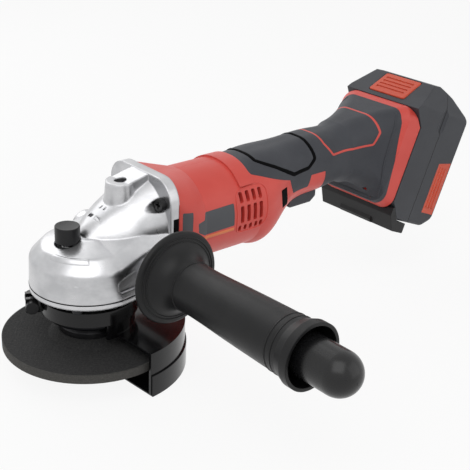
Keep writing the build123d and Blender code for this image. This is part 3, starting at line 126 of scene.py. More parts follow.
class Shade:
    """One output of a material's graph, with arithmetic that adds Math nodes."""

    def __init__(self, graph: Graph, socket: Socket) -> None:
        """Keep the graph and the socket together."""
        self.graph = graph
        self.socket = socket

    def _math(self, operation: str, first: Any, second: Any = 0.0) -> Shade:
        """Add one Math node, by Blender's name of the operation, and give its result."""
        node = self.graph.node("ShaderNodeMath", {"operation": operation}, {0: first, 1: second})
        return Shade(self.graph, node.outputs[0])

    def __add__(self, other: Any) -> Shade:
        """Sum of two values."""
        return self._math("ADD", self, other)

    def __radd__(self, other: Any) -> Shade:
        """Sum with a plain number first."""
        return self._math("ADD", other, self)

    def __sub__(self, other: Any) -> Shade:
        """Difference of two values."""
        return self._math("SUBTRACT", self, other)

    def __rsub__(self, other: Any) -> Shade:
        """Difference with a plain number first."""
        return self._math("SUBTRACT", other, self)

    def __mul__(self, other: Any) -> Shade:
        """Product of two values."""
        return self._math("MULTIPLY", self, other)

    def __rmul__(self, other: Any) -> Shade:
        """Product with a plain number first."""
        return self._math("MULTIPLY", other, self)

    def __abs__(self) -> Shade:
        """Size of the value without its sign."""
        return self._math("ABSOLUTE", self)

    def __lt__(self, limit: float) -> Shade:
        """One where the value is below the limit, and zero elsewhere."""
        return self._math("LESS_THAN", self, limit)

    def __gt__(self, limit: float) -> Shade:
        """Reflected form: one where the value is above the limit."""
        return self._math("GREATER_THAN", self, limit)

    def sine(self) -> Shade:
        """Sine of the value."""
        return self._math("SINE", self)

    def swing(self, reach: float) -> Shade:
        """How far a noise lies from its middle, scaled."""
        return (self - NOISE_MIDDLE) * reach

    def ramp(self, low: float, high: float) -> Shade:
        """Rise smoothly from zero to one between two values.

        Args:
            low: Value that gives zero.
            high: Value that gives one.

        Returns:
            The mapped value.
        """
        node = self.graph.node(
            "ShaderNodeMapRange",
            {"interpolation_type": "SMOOTHSTEP"},
            {"Value": self, "From Min": low, "From Max": high},
        )
        return Shade(self.graph, node.outputs["Result"])


class Graph:
    """A tree of shader nodes."""

    def __init__(self, tree: bpy.types.NodeTree) -> None:
        """Empty the tree and keep it."""
        self.tree = tree
        self.tree.nodes.clear()

    def node(self, kind: str, settings: dict[str, Any], inputs: dict[Any, Any]) -> bpy.types.Node:
        """Add a node, set it up and feed it.

        Args:
            kind: Blender's node type.
            settings: Values set on the node itself.
            inputs: Values, sockets or shades for its sockets, by name or number.

        Returns:
            The new node.
        """
        node = self.tree.nodes.new(kind)
        for key, value in settings.items():
            setattr(node, key, value)
        for key, value in inputs.items():
            self.feed(node.inputs[key], value)
        return node

    def feed(self, socket: Socket, value: Any) -> None:
        """Link a shade or socket, or set a plain value.

        Args:
            socket: Socket to feed.
            value: What it takes.
        """
        if isinstance(value, Shade):
            value = value.socket
        if isinstance(value, Socket):
            self.tree.links.new(value, socket)
        else:
            socket.default_value = value

    def seen(self) -> Shade:
        """One for rays from the camera and for those that mirror or pass on to it."""
        path = self.node("ShaderNodeLightPath", {}, {}).outputs
        camera, glossy, through = (
            Shade(self, path[name]) for name in ("Is Camera Ray", "Is Glossy Ray", "Is Transmission Ray")
        )
        return camera + glossy + through

    def mixed(self, factor: Shade, first: bpy.types.Node, second: bpy.types.Node) -> Socket:
        """Mix two shaders by the share of the second."""
        inputs = {0: factor, 1: first.outputs[0], 2: second.outputs[0]}
        return self.node("ShaderNodeMixShader", {}, inputs).outputs[0]


@dataclass(frozen=True)
class Texture:
    """Character of a cloudy variation: features per metre, octaves, their roughness, and stretch by axis."""

    scale: float
    detail: float
    roughness: float
    stretch: Triple = (1.0, 1.0, 1.0)


def fine(scale: float) -> Texture:
    """Fine eroded grain of a moulded surface, with so many features per metre."""
    return Texture(scale, 2.0, 0.6)


class Coating(Graph):
    """The node graph of one material."""

    def __init__(self, name: str) -> None:
        """Start a material with its shader and its place in the rest frame."""
        self.material = bpy.data.materials.new(name)
        self.material.use_nodes = True
        super().__init__(self.material.node_tree)
        self.surface = self.node("ShaderNodeBsdfPrincipled", {}, {})
        self.output = self.node("ShaderNodeOutputMaterial", {}, {"Surface": self.surface.outputs[0]})
        self.place = self.node("ShaderNodeTexCoord", {}, {}).outputs["Object"]

    def noise(self, texture: Texture) -> Shade:
        """Cloudy variation.

        Args:
            texture: Its character.

        Returns:
            A value around one half.
        """
        stretch = Vector(texture.stretch)
        mapping = self.node("ShaderNodeMapping", {}, {"Vector": self.place, "Scale": stretch})
        inputs = {
            "Vector": mapping.outputs[0],
            "Scale": texture.scale,
            "Detail": texture.detail,
            "Roughness": texture.roughness,
        }
        return Shade(self, self.node("ShaderNodeTexNoise", {}, inputs).outputs[0])

    def grains(self, scale: float) -> Shade:
        """Distance to the nearest of many scattered grains, with so many of them per metre."""
        node = self.node("ShaderNodeTexVoronoi", {}, {"Vector": self.place, "Scale": scale})
        return Shade(self, node.outputs["Distance"])

    def along(self, direction: Vector) -> Shade:
        """Distance from the origin along a unit vector of the row frame, in metres."""
        node = self.node("ShaderNodeVectorMath", {"operation": "DOT_PRODUCT"}, {0: self.place, 1: direction})
        return Shade(self, node.outputs["Value"])

    def blend(self, factor: Shade, first: Any, second: Colour) -> Socket:
        """Mix two colours.

        Args:
            factor: Share of the second colour.
            first: Colour, or colour socket, where the factor is zero.
            second: Colour where the factor is one.

        Returns:
            The colour socket.
        """
        start = first if isinstance(first, Socket) else (*first, 1.0)
        inputs = {MIX_FACTOR: factor, MIX_FIRST: start, MIX_SECOND: (*second, 1.0)}
        return self.node("ShaderNodeMix", {"data_type": "RGBA"}, inputs).outputs[MIX_RESULT]

    def relief(self, height: Shade, depth: float, edge: float) -> Socket:
        """Bump from a height on top of softly rounded edges.

        Args:
            height: Height from zero to one.
            depth: Height of one, in metres.
            edge: Radius of the rounded edges, in metres.

        Returns:
            The normal.
        """
        rounded = self.node("ShaderNodeBevel", {"samples": BEVEL_SAMPLES}, {"Radius": edge})
        inputs = {"Strength": 1.0, "Distance": depth, "Height": height, "Normal": rounded.outputs[0]}
        return self.node("ShaderNodeBump", {}, inputs).outputs[0]

    def finish(self, **inputs: Any) -> Material:
        """Feed the shader by socket name, with underscores for spaces.

        Args:
            inputs: Values, sockets or shades.

        Returns:
            The finished material.
        """
        for key, value in inputs.items():
            self.feed(self.surface.inputs[key.replace("_", " ")], value)
        return self.material


@dataclass(frozen=True)
class Moulding:
    """Moulded plastic or rubber with a fine eroded texture and a little unevenness in colour and gloss."""

    name: str
    colour: Colour
    tint: Colour
    roughness: float = 0.45
    grain: Texture = fine(2600.0)
    grain_depth: float = 0.00003
    edge: float = 0.0006
    specular: float = 0.5
    cloud: Texture = Texture(38.0, 3.0, 0.55)
    rub: Texture = Texture(160.0, 4.0, 0.65)
    cloud_range: Point = (0.3, 0.75)
    cloud_share: float = 0.8
    rub_gloss: float = 0.16
    grain_gloss: float = 0.06
    grain_share: float = 0.75

    def material(self) -> Material:
        """Build the material."""
        graph = Coating(self.name)
        grain = graph.noise(self.grain)
        cloud = graph.noise(self.cloud)
        rub = graph.noise(self.rub)
        mottle = cloud.ramp(*self.cloud_range) * self.cloud_share + grain * (1 - self.cloud_share)
        height = grain * self.grain_share + rub * (1 - self.grain_share)
        return graph.finish(
            Base_Color=graph.blend(mottle, self.colour, self.tint),
            Roughness=self.roughness + rub.swing(self.rub_gloss) + grain.swing(self.grain_gloss),
            Specular_IOR_Level=self.specular,
            Normal=graph.relief(height, self.grain_depth, self.edge),
        )


@dataclass(frozen=True)
class CastMetal:
    """Bright tumbled casting with soft edges and faint flow marks, and painted shade: near-black under a
    given height.
    """

    name: str
    colour: Colour
    tint: Colour
    roughness: float = 0.36
    # Painted shade: the height under which the casting turns to the near-black tone below, which stands in
    # for shade
    painted_shade_under: float = -1.0
    edge: float = 0.0016
    painted_shade_colour: Colour = (0.02, 0.02, 0.022)
    flow: Texture = Texture(55.0, 4.0, 0.6, (1.0, 1.0, 1.6))
    skin: Texture = Texture(1400.0, 3.0, 0.6)
    flow_range: Point = (0.3, 0.72)
    flow_share: float = 0.7
    flow_gloss: float = 0.14
    skin_gloss: float = 0.1
    skin_share: float = 0.6
    skin_depth: float = 0.00005

    def material(self) -> Material:
        """Build the material."""
        graph = Coating(self.name)
        flow = graph.noise(self.flow)
        skin = graph.noise(self.skin)
        mottle = flow.ramp(*self.flow_range) * self.flow_share + skin * (1 - self.flow_share)
        bright = graph.blend(mottle, self.colour, self.tint)
        height = skin * self.skin_share + flow * (1 - self.skin_share)
        return graph.finish(
            # Painted shade: the colour turns near-black below the given height, where the part lies in shade
            # under others
            Base_Color=graph.blend(graph.along(Z_AXIS) < self.painted_shade_under, bright, self.painted_shade_colour),
            Metallic=1.0,
            Roughness=self.roughness + flow.swing(self.flow_gloss) + skin.swing(self.skin_gloss),
            Normal=graph.relief(height, self.skin_depth, self.edge),
        )


@dataclass(frozen=True)
class TurnedMetal:
    """Machined steel or copper with fine tool marks around its axis."""

    name: str
    colour: Colour
    tint: Colour
    roughness: float = 0.28
    marks: Texture = Texture(420.0, 4.0, 0.65, (1.0, 1.0, 9.0))
    stain: Texture = Texture(90.0, 3.0, 0.5)
    stain_range: Point = (0.35, 0.75)
    mark_gloss: float = 0.22
    mark_depth: float = 0.00003
    edge: float = 0.0004

    def material(self) -> Material:
        """Build the material."""
        graph = Coating(self.name)
        marks = graph.noise(self.marks)
        stain = graph.noise(self.stain).ramp(*self.stain_range)
        return graph.finish(
            Base_Color=graph.blend(stain, self.colour, self.tint),
            Metallic=1.0,
            Roughness=self.roughness + marks.swing(self.mark_gloss),
            Normal=graph.relief(marks, self.mark_depth, self.edge),
        )


@dataclass(frozen=True)
class GlossPaint:
    """Deep black paint on sheet steel, with a faint ripple and thin scuffs."""

    name: str
    colour: Colour
    worn: Colour
    roughness: float = 0.16
    specular: float = 0.2
    ripple: Texture = Texture(240.0, 2.0, 0.4)
    scuff: Texture = Texture(75.0, 6.0, 0.75, (1.0, 1.0, 5.0))
    dust: Texture = Texture(900.0, 3.0, 0.7)
    scuff_range: Point = (0.62, 0.72)
    dust_range: Point = (0.6, 0.85)
    scuff_share: float = 0.5
    dust_share: float = 0.25
    scuff_dulls: float = 0.2
    dust_dulls: float = 0.1
    coat: float = 0.22
    coat_scuffed_off: float = 0.15
    coat_roughness: float = 0.08
    ripple_depth: float = 0.00004
    edge: float = 0.0005

    def material(self) -> Material:
        """Build the material."""
        graph = Coating(self.name)
        ripple = graph.noise(self.ripple)
        scuff = graph.noise(self.scuff).ramp(*self.scuff_range)
        dust = graph.noise(self.dust).ramp(*self.dust_range)
        wear = scuff * self.scuff_share + dust * self.dust_share
        return graph.finish(
            Base_Color=graph.blend(wear, self.colour, self.worn),
            Roughness=self.roughness + scuff * self.scuff_dulls + dust * self.dust_dulls,
            Specular_IOR_Level=self.specular,
            Coat_Weight=self.coat - scuff * self.coat_scuffed_off,
            Coat_Roughness=self.coat_roughness,
            Normal=graph.relief(ripple, self.ripple_depth, self.edge),
        )


@dataclass(frozen=True)
class BondedGrit:
    """Dark abrasive grains in resin over a woven net, with a paler band of bare grains round the rim."""

    name: str
    resin: Colour
    grit: Colour
    bare: Colour
    net_pitch: float = 0.0035
    rim_start: float = 0.0566
    rim_full: float = 0.0572
    rim_least: float = 0.35
    fine_grains: float = 1500.0
    coarse_grains: float = 620.0
    speck_range: Point = (0.05, 0.32)
    speck_share: float = 0.55
    coarse_share: float = 0.3
    roughness: float = 0.92
    speck_gloss: float = 0.25
    fine_height: float = 0.5
    coarse_height: float = 0.35
    net_height: float = 0.12
    grain_depth: float = 0.00035
    edge: float = 0.0006

    def material(self) -> Material:
        """Build the material."""
        graph = Coating(self.name)
        grain = graph.grains(self.fine_grains)
        coarse = graph.grains(self.coarse_grains)
        speck = 1.0 - grain.ramp(*self.speck_range)
        wave = 2 * math.pi / self.net_pitch
        x = graph.along(X_AXIS)
        y = graph.along(Y_AXIS)
        net = (x * wave).sine() * (y * wave).sine()
        band = (x * x + y * y).ramp(self.rim_start ** 2, self.rim_full ** 2)
        rim = band * (self.rim_least + speck * (1 - self.rim_least))
        face = graph.blend(speck * self.speck_share + coarse * self.coarse_share, self.resin, self.grit)
        height = grain * self.fine_height + coarse * self.coarse_height + net * self.net_height
        return graph.finish(
            Base_Color=graph.blend(rim, face, self.bare),
            Roughness=self.roughness - speck * self.speck_gloss,
            Normal=graph.relief(height, self.grain_depth, self.edge),
        )


@dataclass(frozen=True)
class SeamedMoulding:
    """Battery moulding with the dark line where its two shells meet."""

    name: str
    colour: Colour
    tint: Colour
    along: Vector
    seam: float
    half_width: float = 0.0004
    roughness: float = 0.5
    specular: float = 0.35
    edge: float = 0.0008
    grain: Texture = fine(2400.0)
    cloud: Texture = Texture(40.0, 3.0, 0.55)
    cloud_range: Point = (0.3, 0.75)
    cloud_share: float = 0.75
    grain_share: float = 0.2
    seam_core: float = 0.4
    seam_tone: float = 0.12
    seam_dulls: float = 0.2
    seam_depth: float = 0.0003
    grain_gloss: float = 0.1
    grain_height: float = 0.1

    def material(self) -> Material:
        """Build the material."""
        graph = Coating(self.name)
        grain = graph.noise(self.grain)
        cloud = graph.noise(self.cloud).ramp(*self.cloud_range)
        away = abs(graph.along(self.along) - self.seam)
        line = 1.0 - away.ramp(self.half_width * self.seam_core, self.half_width)
        plain = graph.blend(cloud * self.cloud_share + grain * self.grain_share, self.colour, self.tint)
        dark = tuple(part * self.seam_tone for part in self.colour)
        return graph.finish(
            Base_Color=graph.blend(line, plain, dark),
            Roughness=self.roughness + grain.swing(self.grain_gloss) + line * self.seam_dulls,
            Specular_IOR_Level=self.specular,
            Normal=graph.relief(grain * self.grain_height - line, self.seam_depth, self.edge),
        )


@dataclass(frozen=True)
class Tracks:
    """Green circuit board with faint copper tracks."""

    name: str
    colour: Colour
    track: Colour
    pitch: float = 0.0022
    patches: Texture = Texture(120.0, 1.0, 0.3)
    patch_range: Point = (0.5, 0.54)
    track_range: Point = (0.2, 0.5)
    roughness: float = 0.4
    track_gloss: float = 0.1
    track_depth: float = 0.00003
    edge: float = 0.0002

    def material(self) -> Material:
        """Build the material."""
        graph = Coating(self.name)
        wave = (graph.along(Y_AXIS) * (2 * math.pi / self.pitch)).sine()
        patch = graph.noise(self.patches).ramp(*self.patch_range)
        lines = wave.ramp(*self.track_range) * patch
        return graph.finish(
            Base_Color=graph.blend(lines, self.colour, self.track),
            Roughness=self.roughness - lines * self.track_gloss,
            Normal=graph.relief(lines, self.track_depth, self.edge),
        )


class Finish(Enum):
    """Every finish on the tool."""

    CASTING = CastMetal("bright_casting", (0.6, 0.6, 0.612), (0.44, 0.444, 0.456), 0.3)
    # Painted shade: the plate's spigot under the head's rim turns near-black below 48.5 mm
    PLATE = CastMetal("cast_plate", (0.62, 0.62, 0.632), (0.48, 0.484, 0.496), 0.3, painted_shade_under=0.0485)
    RAISED = replace(CASTING, name="raised_casting", edge=0.00005)
    STEEL = TurnedMetal("turned_steel", (0.58, 0.58, 0.59), (0.48, 0.48, 0.49))
    DARK_STEEL = TurnedMetal("blackened_steel", (0.03, 0.03, 0.032), (0.05, 0.05, 0.052), 0.42)
    COPPER = TurnedMetal("bare_copper", (0.72, 0.36, 0.19), (0.6, 0.29, 0.15), 0.32)
    BLACK_PAINT = GlossPaint("gloss_black_paint", (0.004, 0.004, 0.0045), (0.03, 0.03, 0.032))
    GRIT = BondedGrit("bonded_grit", (0.01, 0.01, 0.011), (0.075, 0.074, 0.07), (0.15, 0.144, 0.132))
    RED = Moulding("red_moulding", (0.7, 0.07, 0.052), (0.75, 0.088, 0.068), 0.42)
    PANEL = Moulding("red_orange_panel", (0.64, 0.07, 0.026), (0.7, 0.09, 0.036), 0.4)
    STRIPE = Moulding("orange_stripe", (0.82, 0.2, 0.06), (0.88, 0.25, 0.085), 0.4)
    RUBBER = Moulding(
        "grey_overmould", (0.04, 0.0425, 0.051), (0.054, 0.0575, 0.067), 0.54, fine(3000.0), 0.00005,
        specular=0.34,
    )
    LABEL = Moulding(
        "grey_label", (0.056, 0.059, 0.067), (0.064, 0.068, 0.076), 0.5, fine(3200.0), 0.00001
    )
    BLACK = Moulding(
        "black_moulding", (0.007, 0.007, 0.0076), (0.012, 0.012, 0.013), 0.4, fine(2400.0), 0.00002,
        specular=0.28,
    )
    HANDLE = Moulding(
        "black_grip", (0.007, 0.007, 0.0075), (0.012, 0.012, 0.0126), 0.4, fine(2800.0), 0.00006,
        edge=0.0009, specular=0.24,
    )
    DOME = Moulding(
        "black_core", (0.005, 0.005, 0.0055), (0.008, 0.008, 0.0086), 0.26, fine(2000.0), 0.00001,
        specular=0.4,
    )
    BATTERY = SeamedMoulding(
        "battery_shell", (0.037, 0.039, 0.046), (0.048, 0.051, 0.059), RAIL_BACK, JOINT.dot(RAIL_BACK) + SEAM
    )
    FILL = replace(BATTERY, name="battery_fill", edge=0.00003)
    SLEEVE = Moulding("cell_sleeve", (0.05, 0.16, 0.3), (0.06, 0.19, 0.35), 0.3)
    BOARD = Tracks("circuit_board", (0.01, 0.09, 0.035), (0.04, 0.2, 0.08))
    FERRITE = Moulding("ferrite", (0.03, 0.03, 0.032), (0.045, 0.045, 0.047), 0.6, fine(1500.0), 0.00008)
    # Painted shade: near-black stand-in for the shade inside slots and grooves; it also draws the dark joint
    # under the head
    SHADOW = Moulding("painted_shade_and_dark_joint", (0.003, 0.003, 0.0033), (0.005, 0.005, 0.0054), 0.75, specular=0.04)

    def paint(self) -> Material:
        """The material, made once."""
        return bpy.data.materials.get(self.value.name) or self.value.material()


def coat(finish: Finish, *nodes: str) -> None:
    """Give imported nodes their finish.

    Args:
        finish: The finish.
        nodes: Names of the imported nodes.
    """
    for node in nodes:
        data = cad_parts[node].data
        data.materials.clear()
        data.materials.append(finish.paint())
        LOG.info("%s in %s", node, finish.value.name)


def piece(name: str, mesh: Mesh, body: str, finish: Finish,
          smooth: bool = True) -> bpy.types.Object:
    """Turn a mesh into a piece that rides on a body.

    Args:
        name: Name of the piece.
        mesh: Its geometry, in the row frame.
        body: Body that carries it.
        finish: Its finish.
        smooth: Whether its faces are shaded smooth.

    Returns:
        The new object.
    """
    bmesh.ops.recalc_face_normals(mesh, faces=mesh.faces)
    data = bpy.data.meshes.new(name)
    mesh.to_mesh(data)
    mesh.free()
    for face in data.polygons:
        face.use_smooth = smooth
    data.materials.append(finish.paint())
    obj = bpy.data.objects.new(name, data)
    bpy.context.scene.collection.objects.link(obj)
    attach(obj, body)
    LOG.info("%s on %s", name, body)
    return obj


class Skin:
    """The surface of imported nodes, for laying thin pieces on it."""

    def __init__(self, *nodes: str) -> None:
        """Gather the nodes' triangles in one search tree."""
        points: list[Vector] = []
        faces: list[list[int]] = []
        for node in nodes:
            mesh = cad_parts[node].data
            start = len(points)
            points += [vertex.co.copy() for vertex in mesh.vertices]
            faces += [[start + index for index in face.vertices] for face in mesh.polygons]
        self.tree = BVHTree.FromPolygons(points, faces)

    def meet(self, start: Vector, way: Vector) -> Spot:
        """Find where a ray first meets the surface.

        Args:
            start: Start of the ray.
            way: Its direction.

        Returns:
            The point, and the surface's normal there, turned towards the start.
        """
        point, normal, _, _ = self.tree.ray_cast(start, way)
        if point is None:
            point, normal, _, _ = self.tree.find_nearest(start)
        if normal.dot(way) > 0:
            normal = -normal
        return point, normal


def loft(mesh: Mesh, rings: Sequence[Sequence[bmesh.types.BMVert]], closed: bool = False) -> None:
    """Join a row of rings by faces, with a lid on each end unless the row is a loop.

    Args:
        mesh: Mesh that takes the faces.
        rings: Rings of as many vertices each.
        closed: Whether the last ring meets the first.
    """
    pairs = list(zip(rings, rings[1:])) + ([(rings[-1], rings[0])] if closed else [])
    for first, second in pairs:
        for k in range(len(first)):
            after = (k + 1) % len(first)
            mesh.faces.new((first[k], first[after], second[after], second[k]))
    if not closed:
        mesh.faces.new(rings[0])
        mesh.faces.new(list(reversed(rings[-1])))


def tube(mesh: Mesh, path: Sequence[Vector], normals: Sequence[Vector], width: float,
         height: float, closed: bool = False) -> None:
    """Add a low rounded bead along a path.

    Args:
        mesh: Mesh that takes it.
        path: Points along its middle.
        normals: Surface normals at the points.
        width: Its full width.
        height: How far it stands out of the surface.
        closed: Whether its end meets its start.
    """
    count = len(path)
    turns = [2 * math.pi * k / BEAD_SIDES for k in range(BEAD_SIDES)]
    section = [(math.cos(turn) * width / 2, math.sin(turn) * height) for turn in turns]
    rings = []
    for index, (point, normal) in enumerate(zip(path, normals)):
        before = path[index - 1] if closed or index else point
        after = path[(index + 1) % count] if closed or index < count - 1 else point
        across = (after - before).normalized().cross(normal).normalized()
        rings.append([mesh.verts.new(point + across * aside + normal * up) for aside, up in section])
    loft(mesh, rings, closed)


@dataclass(frozen=True)
class Bead:
    """A low bead, with the corners of its path in the two coordinates of the rays that lay it."""

    corners: tuple[Point, ...]
    width: float
    height: float
    closed: bool = False
    step: float = 0.002

    def walk(self) -> list[Point]:
        """Points along the path, with its corners rounded."""
        ends = list(self.corners) + ([self.corners[0]] if self.closed else [])
        walk: list[Vector] = []
        for start, end in zip(ends, ends[1:]):
            first, second = Vector(start), Vector(end)
            pieces = max(2, round((second - first).length / self.step))
            walk += [first.lerp(second, k / pieces) for k in range(pieces)]
        if not self.closed:
            walk.append(Vector(ends[-1]))
        for _ in range(SMOOTHING_PASSES):
            inner = range(len(walk)) if self.closed else range(1, len(walk) - 1)
            moved = {k: (walk[k - 1] + walk[k] * 2 + walk[(k + 1) % len(walk)]) / 4 for k in inner}
            walk = [moved.get(k, point) for k, point in enumerate(walk)]
        return [(point.x, point.y) for point in walk]

    def lay(self, mesh: Mesh, skin: Skin, aim: Aim) -> None:
        """Add the bead to a mesh.

        Args:
            mesh: Mesh that takes it.
            skin: Surface under it.
            aim: Rays that find the surface.
        """
        spots = [skin.meet(*aim(*spot)) for spot in self.walk()]
        tube(mesh, *zip(*spots), self.width, self.height, self.closed)


@dataclass(frozen=True)
class Patch:
    """A thin plate between two corners in the two coordinates of the rays that lay it.

    The slant shifts its top along the first coordinate. The profile is the share of its height at the rim,
    one cell inside it, and so on inwards.
    """

    low: Point
    high: Point
    height: float
    cells: tuple[int, int]
    slant: float = 0.0
    profile: tuple[float, ...] = (0.35, 1.0)

    def spot(self, i: int, j: int) -> Point:
        """Coordinates of one corner of the cells."""
        across, up = self.cells
        shift = self.slant * (j / up)
        first = self.low[0] + (self.high[0] - self.low[0]) * i / across + shift
        return first, self.low[1] + (self.high[1] - self.low[1]) * (j / up)

    def lay(self, mesh: Mesh, skin: Skin, aim: Aim) -> None:
        """Add the plate to a mesh, with its underside sunk into the surface.

        Args:
            mesh: Mesh that takes it.
            skin: Surface under it.
            aim: Rays that find the surface.
        """
        across, up = self.cells
        top = {}
        bottom = {}
        for i in range(across + 1):
            for j in range(up + 1):
                point, normal = skin.meet(*aim(*self.spot(i, j)))
                inside = min(i, across - i, j, up - j, len(self.profile) - 1)
                top[i, j] = mesh.verts.new(point + normal * (self.height * self.profile[inside]))
                bottom[i, j] = mesh.verts.new(point - normal * PATCH_SINK)
        for i in range(across):
            for j in range(up):
                ring = ((i, j), (i + 1, j), (i + 1, j + 1), (i, j + 1))
                mesh.faces.new([top[key] for key in ring])
                mesh.faces.new([bottom[key] for key in reversed(ring)])
        rim = [(i, 0) for i in range(across)] + [(across, j) for j in range(up)]
        rim += [(i, up) for i in range(across, 0, -1)] + [(0, j) for j in range(up, 0, -1)]
        for first, second in zip(rim, rim[1:] + rim[:1]):
            mesh.faces.new((top[first], bottom[first], bottom[second], top[second]))


@dataclass
class Spring:
    """Coil that stands in for the stiff one of a button or trigger."""

    node: str
    joint: str
    travel: float
    seat_is_low: bool
    clearance: float = 0.00006

    def build(self) -> None:
        """Put a copy of the coil in the place of the stiff one, and hide the stiff one."""
        low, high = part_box(self.node)
        seat = (low + high) / 2
        seat.z = low.z if self.seat_is_low else high.z
        mesh = bmesh.new()
        mesh.from_mesh(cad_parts[self.node].data)
        coil = piece(f"{self.node}_coil", mesh, "tool", Finish.STEEL)
        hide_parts(self.node)
        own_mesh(coil)


@dataclass
class GearHead:
    """Cast gear housing with its screws, bearing plate and lock button."""

    pad: Patch = Patch(
        (math.radians(-171), 0.0284), (math.radians(-121), 0.0324), 0.00045, (48, 8),
        profile=(-0.3, 0.35, 0.8, 1.0),
    )
    view_height: float = 0.2
    view_radius: float = 0.1
    joint_height: float = 0.053
    joint_opening: float = math.radians(48)
    joint_points: int = 150
    joint_width: float = 0.0008
    joint_proud: float = 0.00015
    lock_travel: float = 0.0045

    def from_above(self, angle: float, radius: float) -> Ray:
        """Ray that falls on the head, at an angle about the spindle and a distance from it."""
        return Vector((radius * math.cos(angle), radius * math.sin(angle), self.view_height)), DOWN

    def from_around(self, turn: float) -> Ray:
        """Level ray towards the spindle, at the joint under the head."""
        out = Vector((math.cos(turn), math.sin(turn), 0))
        return out * self.view_radius + Vector((0, 0, self.joint_height)), -out

    def joint_line(self) -> None:
        """Draw the dark line where the head sits on its bearing plate."""
        skin = Skin("gear_housing", "bearing_plate")
        sweep = 2 * (math.pi - self.joint_opening)
        turns = [self.joint_opening + sweep * k / self.joint_points for k in range(self.joint_points + 1)]
        spots = [skin.meet(*self.from_around(turn)) for turn in turns]
        line = bmesh.new()
        tube(line, *zip(*spots), self.joint_width, self.joint_proud)
        piece("head_joint_line", line, "tool", Finish.SHADOW)

    def dress(self) -> None:
        """Give the head's nodes their finishes."""
        coat(Finish.CASTING, "gear_housing")
        coat(Finish.PLATE, "bearing_plate")
        coat(Finish.DARK_STEEL, "bearing_plate_screws")
        coat(Finish.STEEL, "spindle_lock_pin")
        coat(Finish.BLACK, "gear_housing_screws", "spindle_lock_button")

    def build(self) -> None:
        """Dress the head, raise the pad on its front shoulder, and add the joint line and the lock's coil."""
        self.dress()
        pad = bmesh.new()
        self.pad.lay(pad, Skin("gear_housing"), self.from_above)
        piece("shoulder_pad", pad, "tool", Finish.RAISED)
        self.joint_line()
        Spring("spindle_lock_spring", "lock_press", self.lock_travel, seat_is_low=True).build()


@dataclass
class DiscStack:
    """Spindle, flange, disc and nut, with the gear above."""

    def dress(self) -> None:
        """Give the stack's nodes their finishes."""
        coat(Finish.STEEL, "spindle", "bevel_gear", "lock_nut", "spindle_bearing")
        coat(Finish.DARK_STEEL, "inner_flange")
        coat(Finish.COPPER, "spindle_bush")
        coat(Finish.GRIT, "grinding_disc")


@dataclass
class GuardSet:
    """Painted guard with its cover, band and screw."""

    def dress(self) -> None:
        """Give the guard's nodes their finishes."""
        coat(Finish.BLACK_PAINT, "guard", "guard_cover", "guard_clamp_band")
        coat(Finish.BLACK, "guard_clamp_screw")


@dataclass
class Motor:
    """Everything inside the motor housing."""

    def dress(self) -> None:
        """Give the motor's nodes their finishes."""
        coat(Finish.STEEL, "armature_shaft", "rotor_core", "pinion", "motor_can")
        coat(Finish.STEEL, "front_motor_bearing", "rear_motor_bearing", "trigger_pin", "housing_screws")
        coat(Finish.COPPER, "armature_winding", "commutator", "tool_terminals")
        coat(Finish.BLACK, "fan", "fan_baffle", "brush_ring", "switch_module")
        coat(Finish.FERRITE, "field_magnets", "carbon_brushes")
        coat(Finish.BOARD, "control_board")


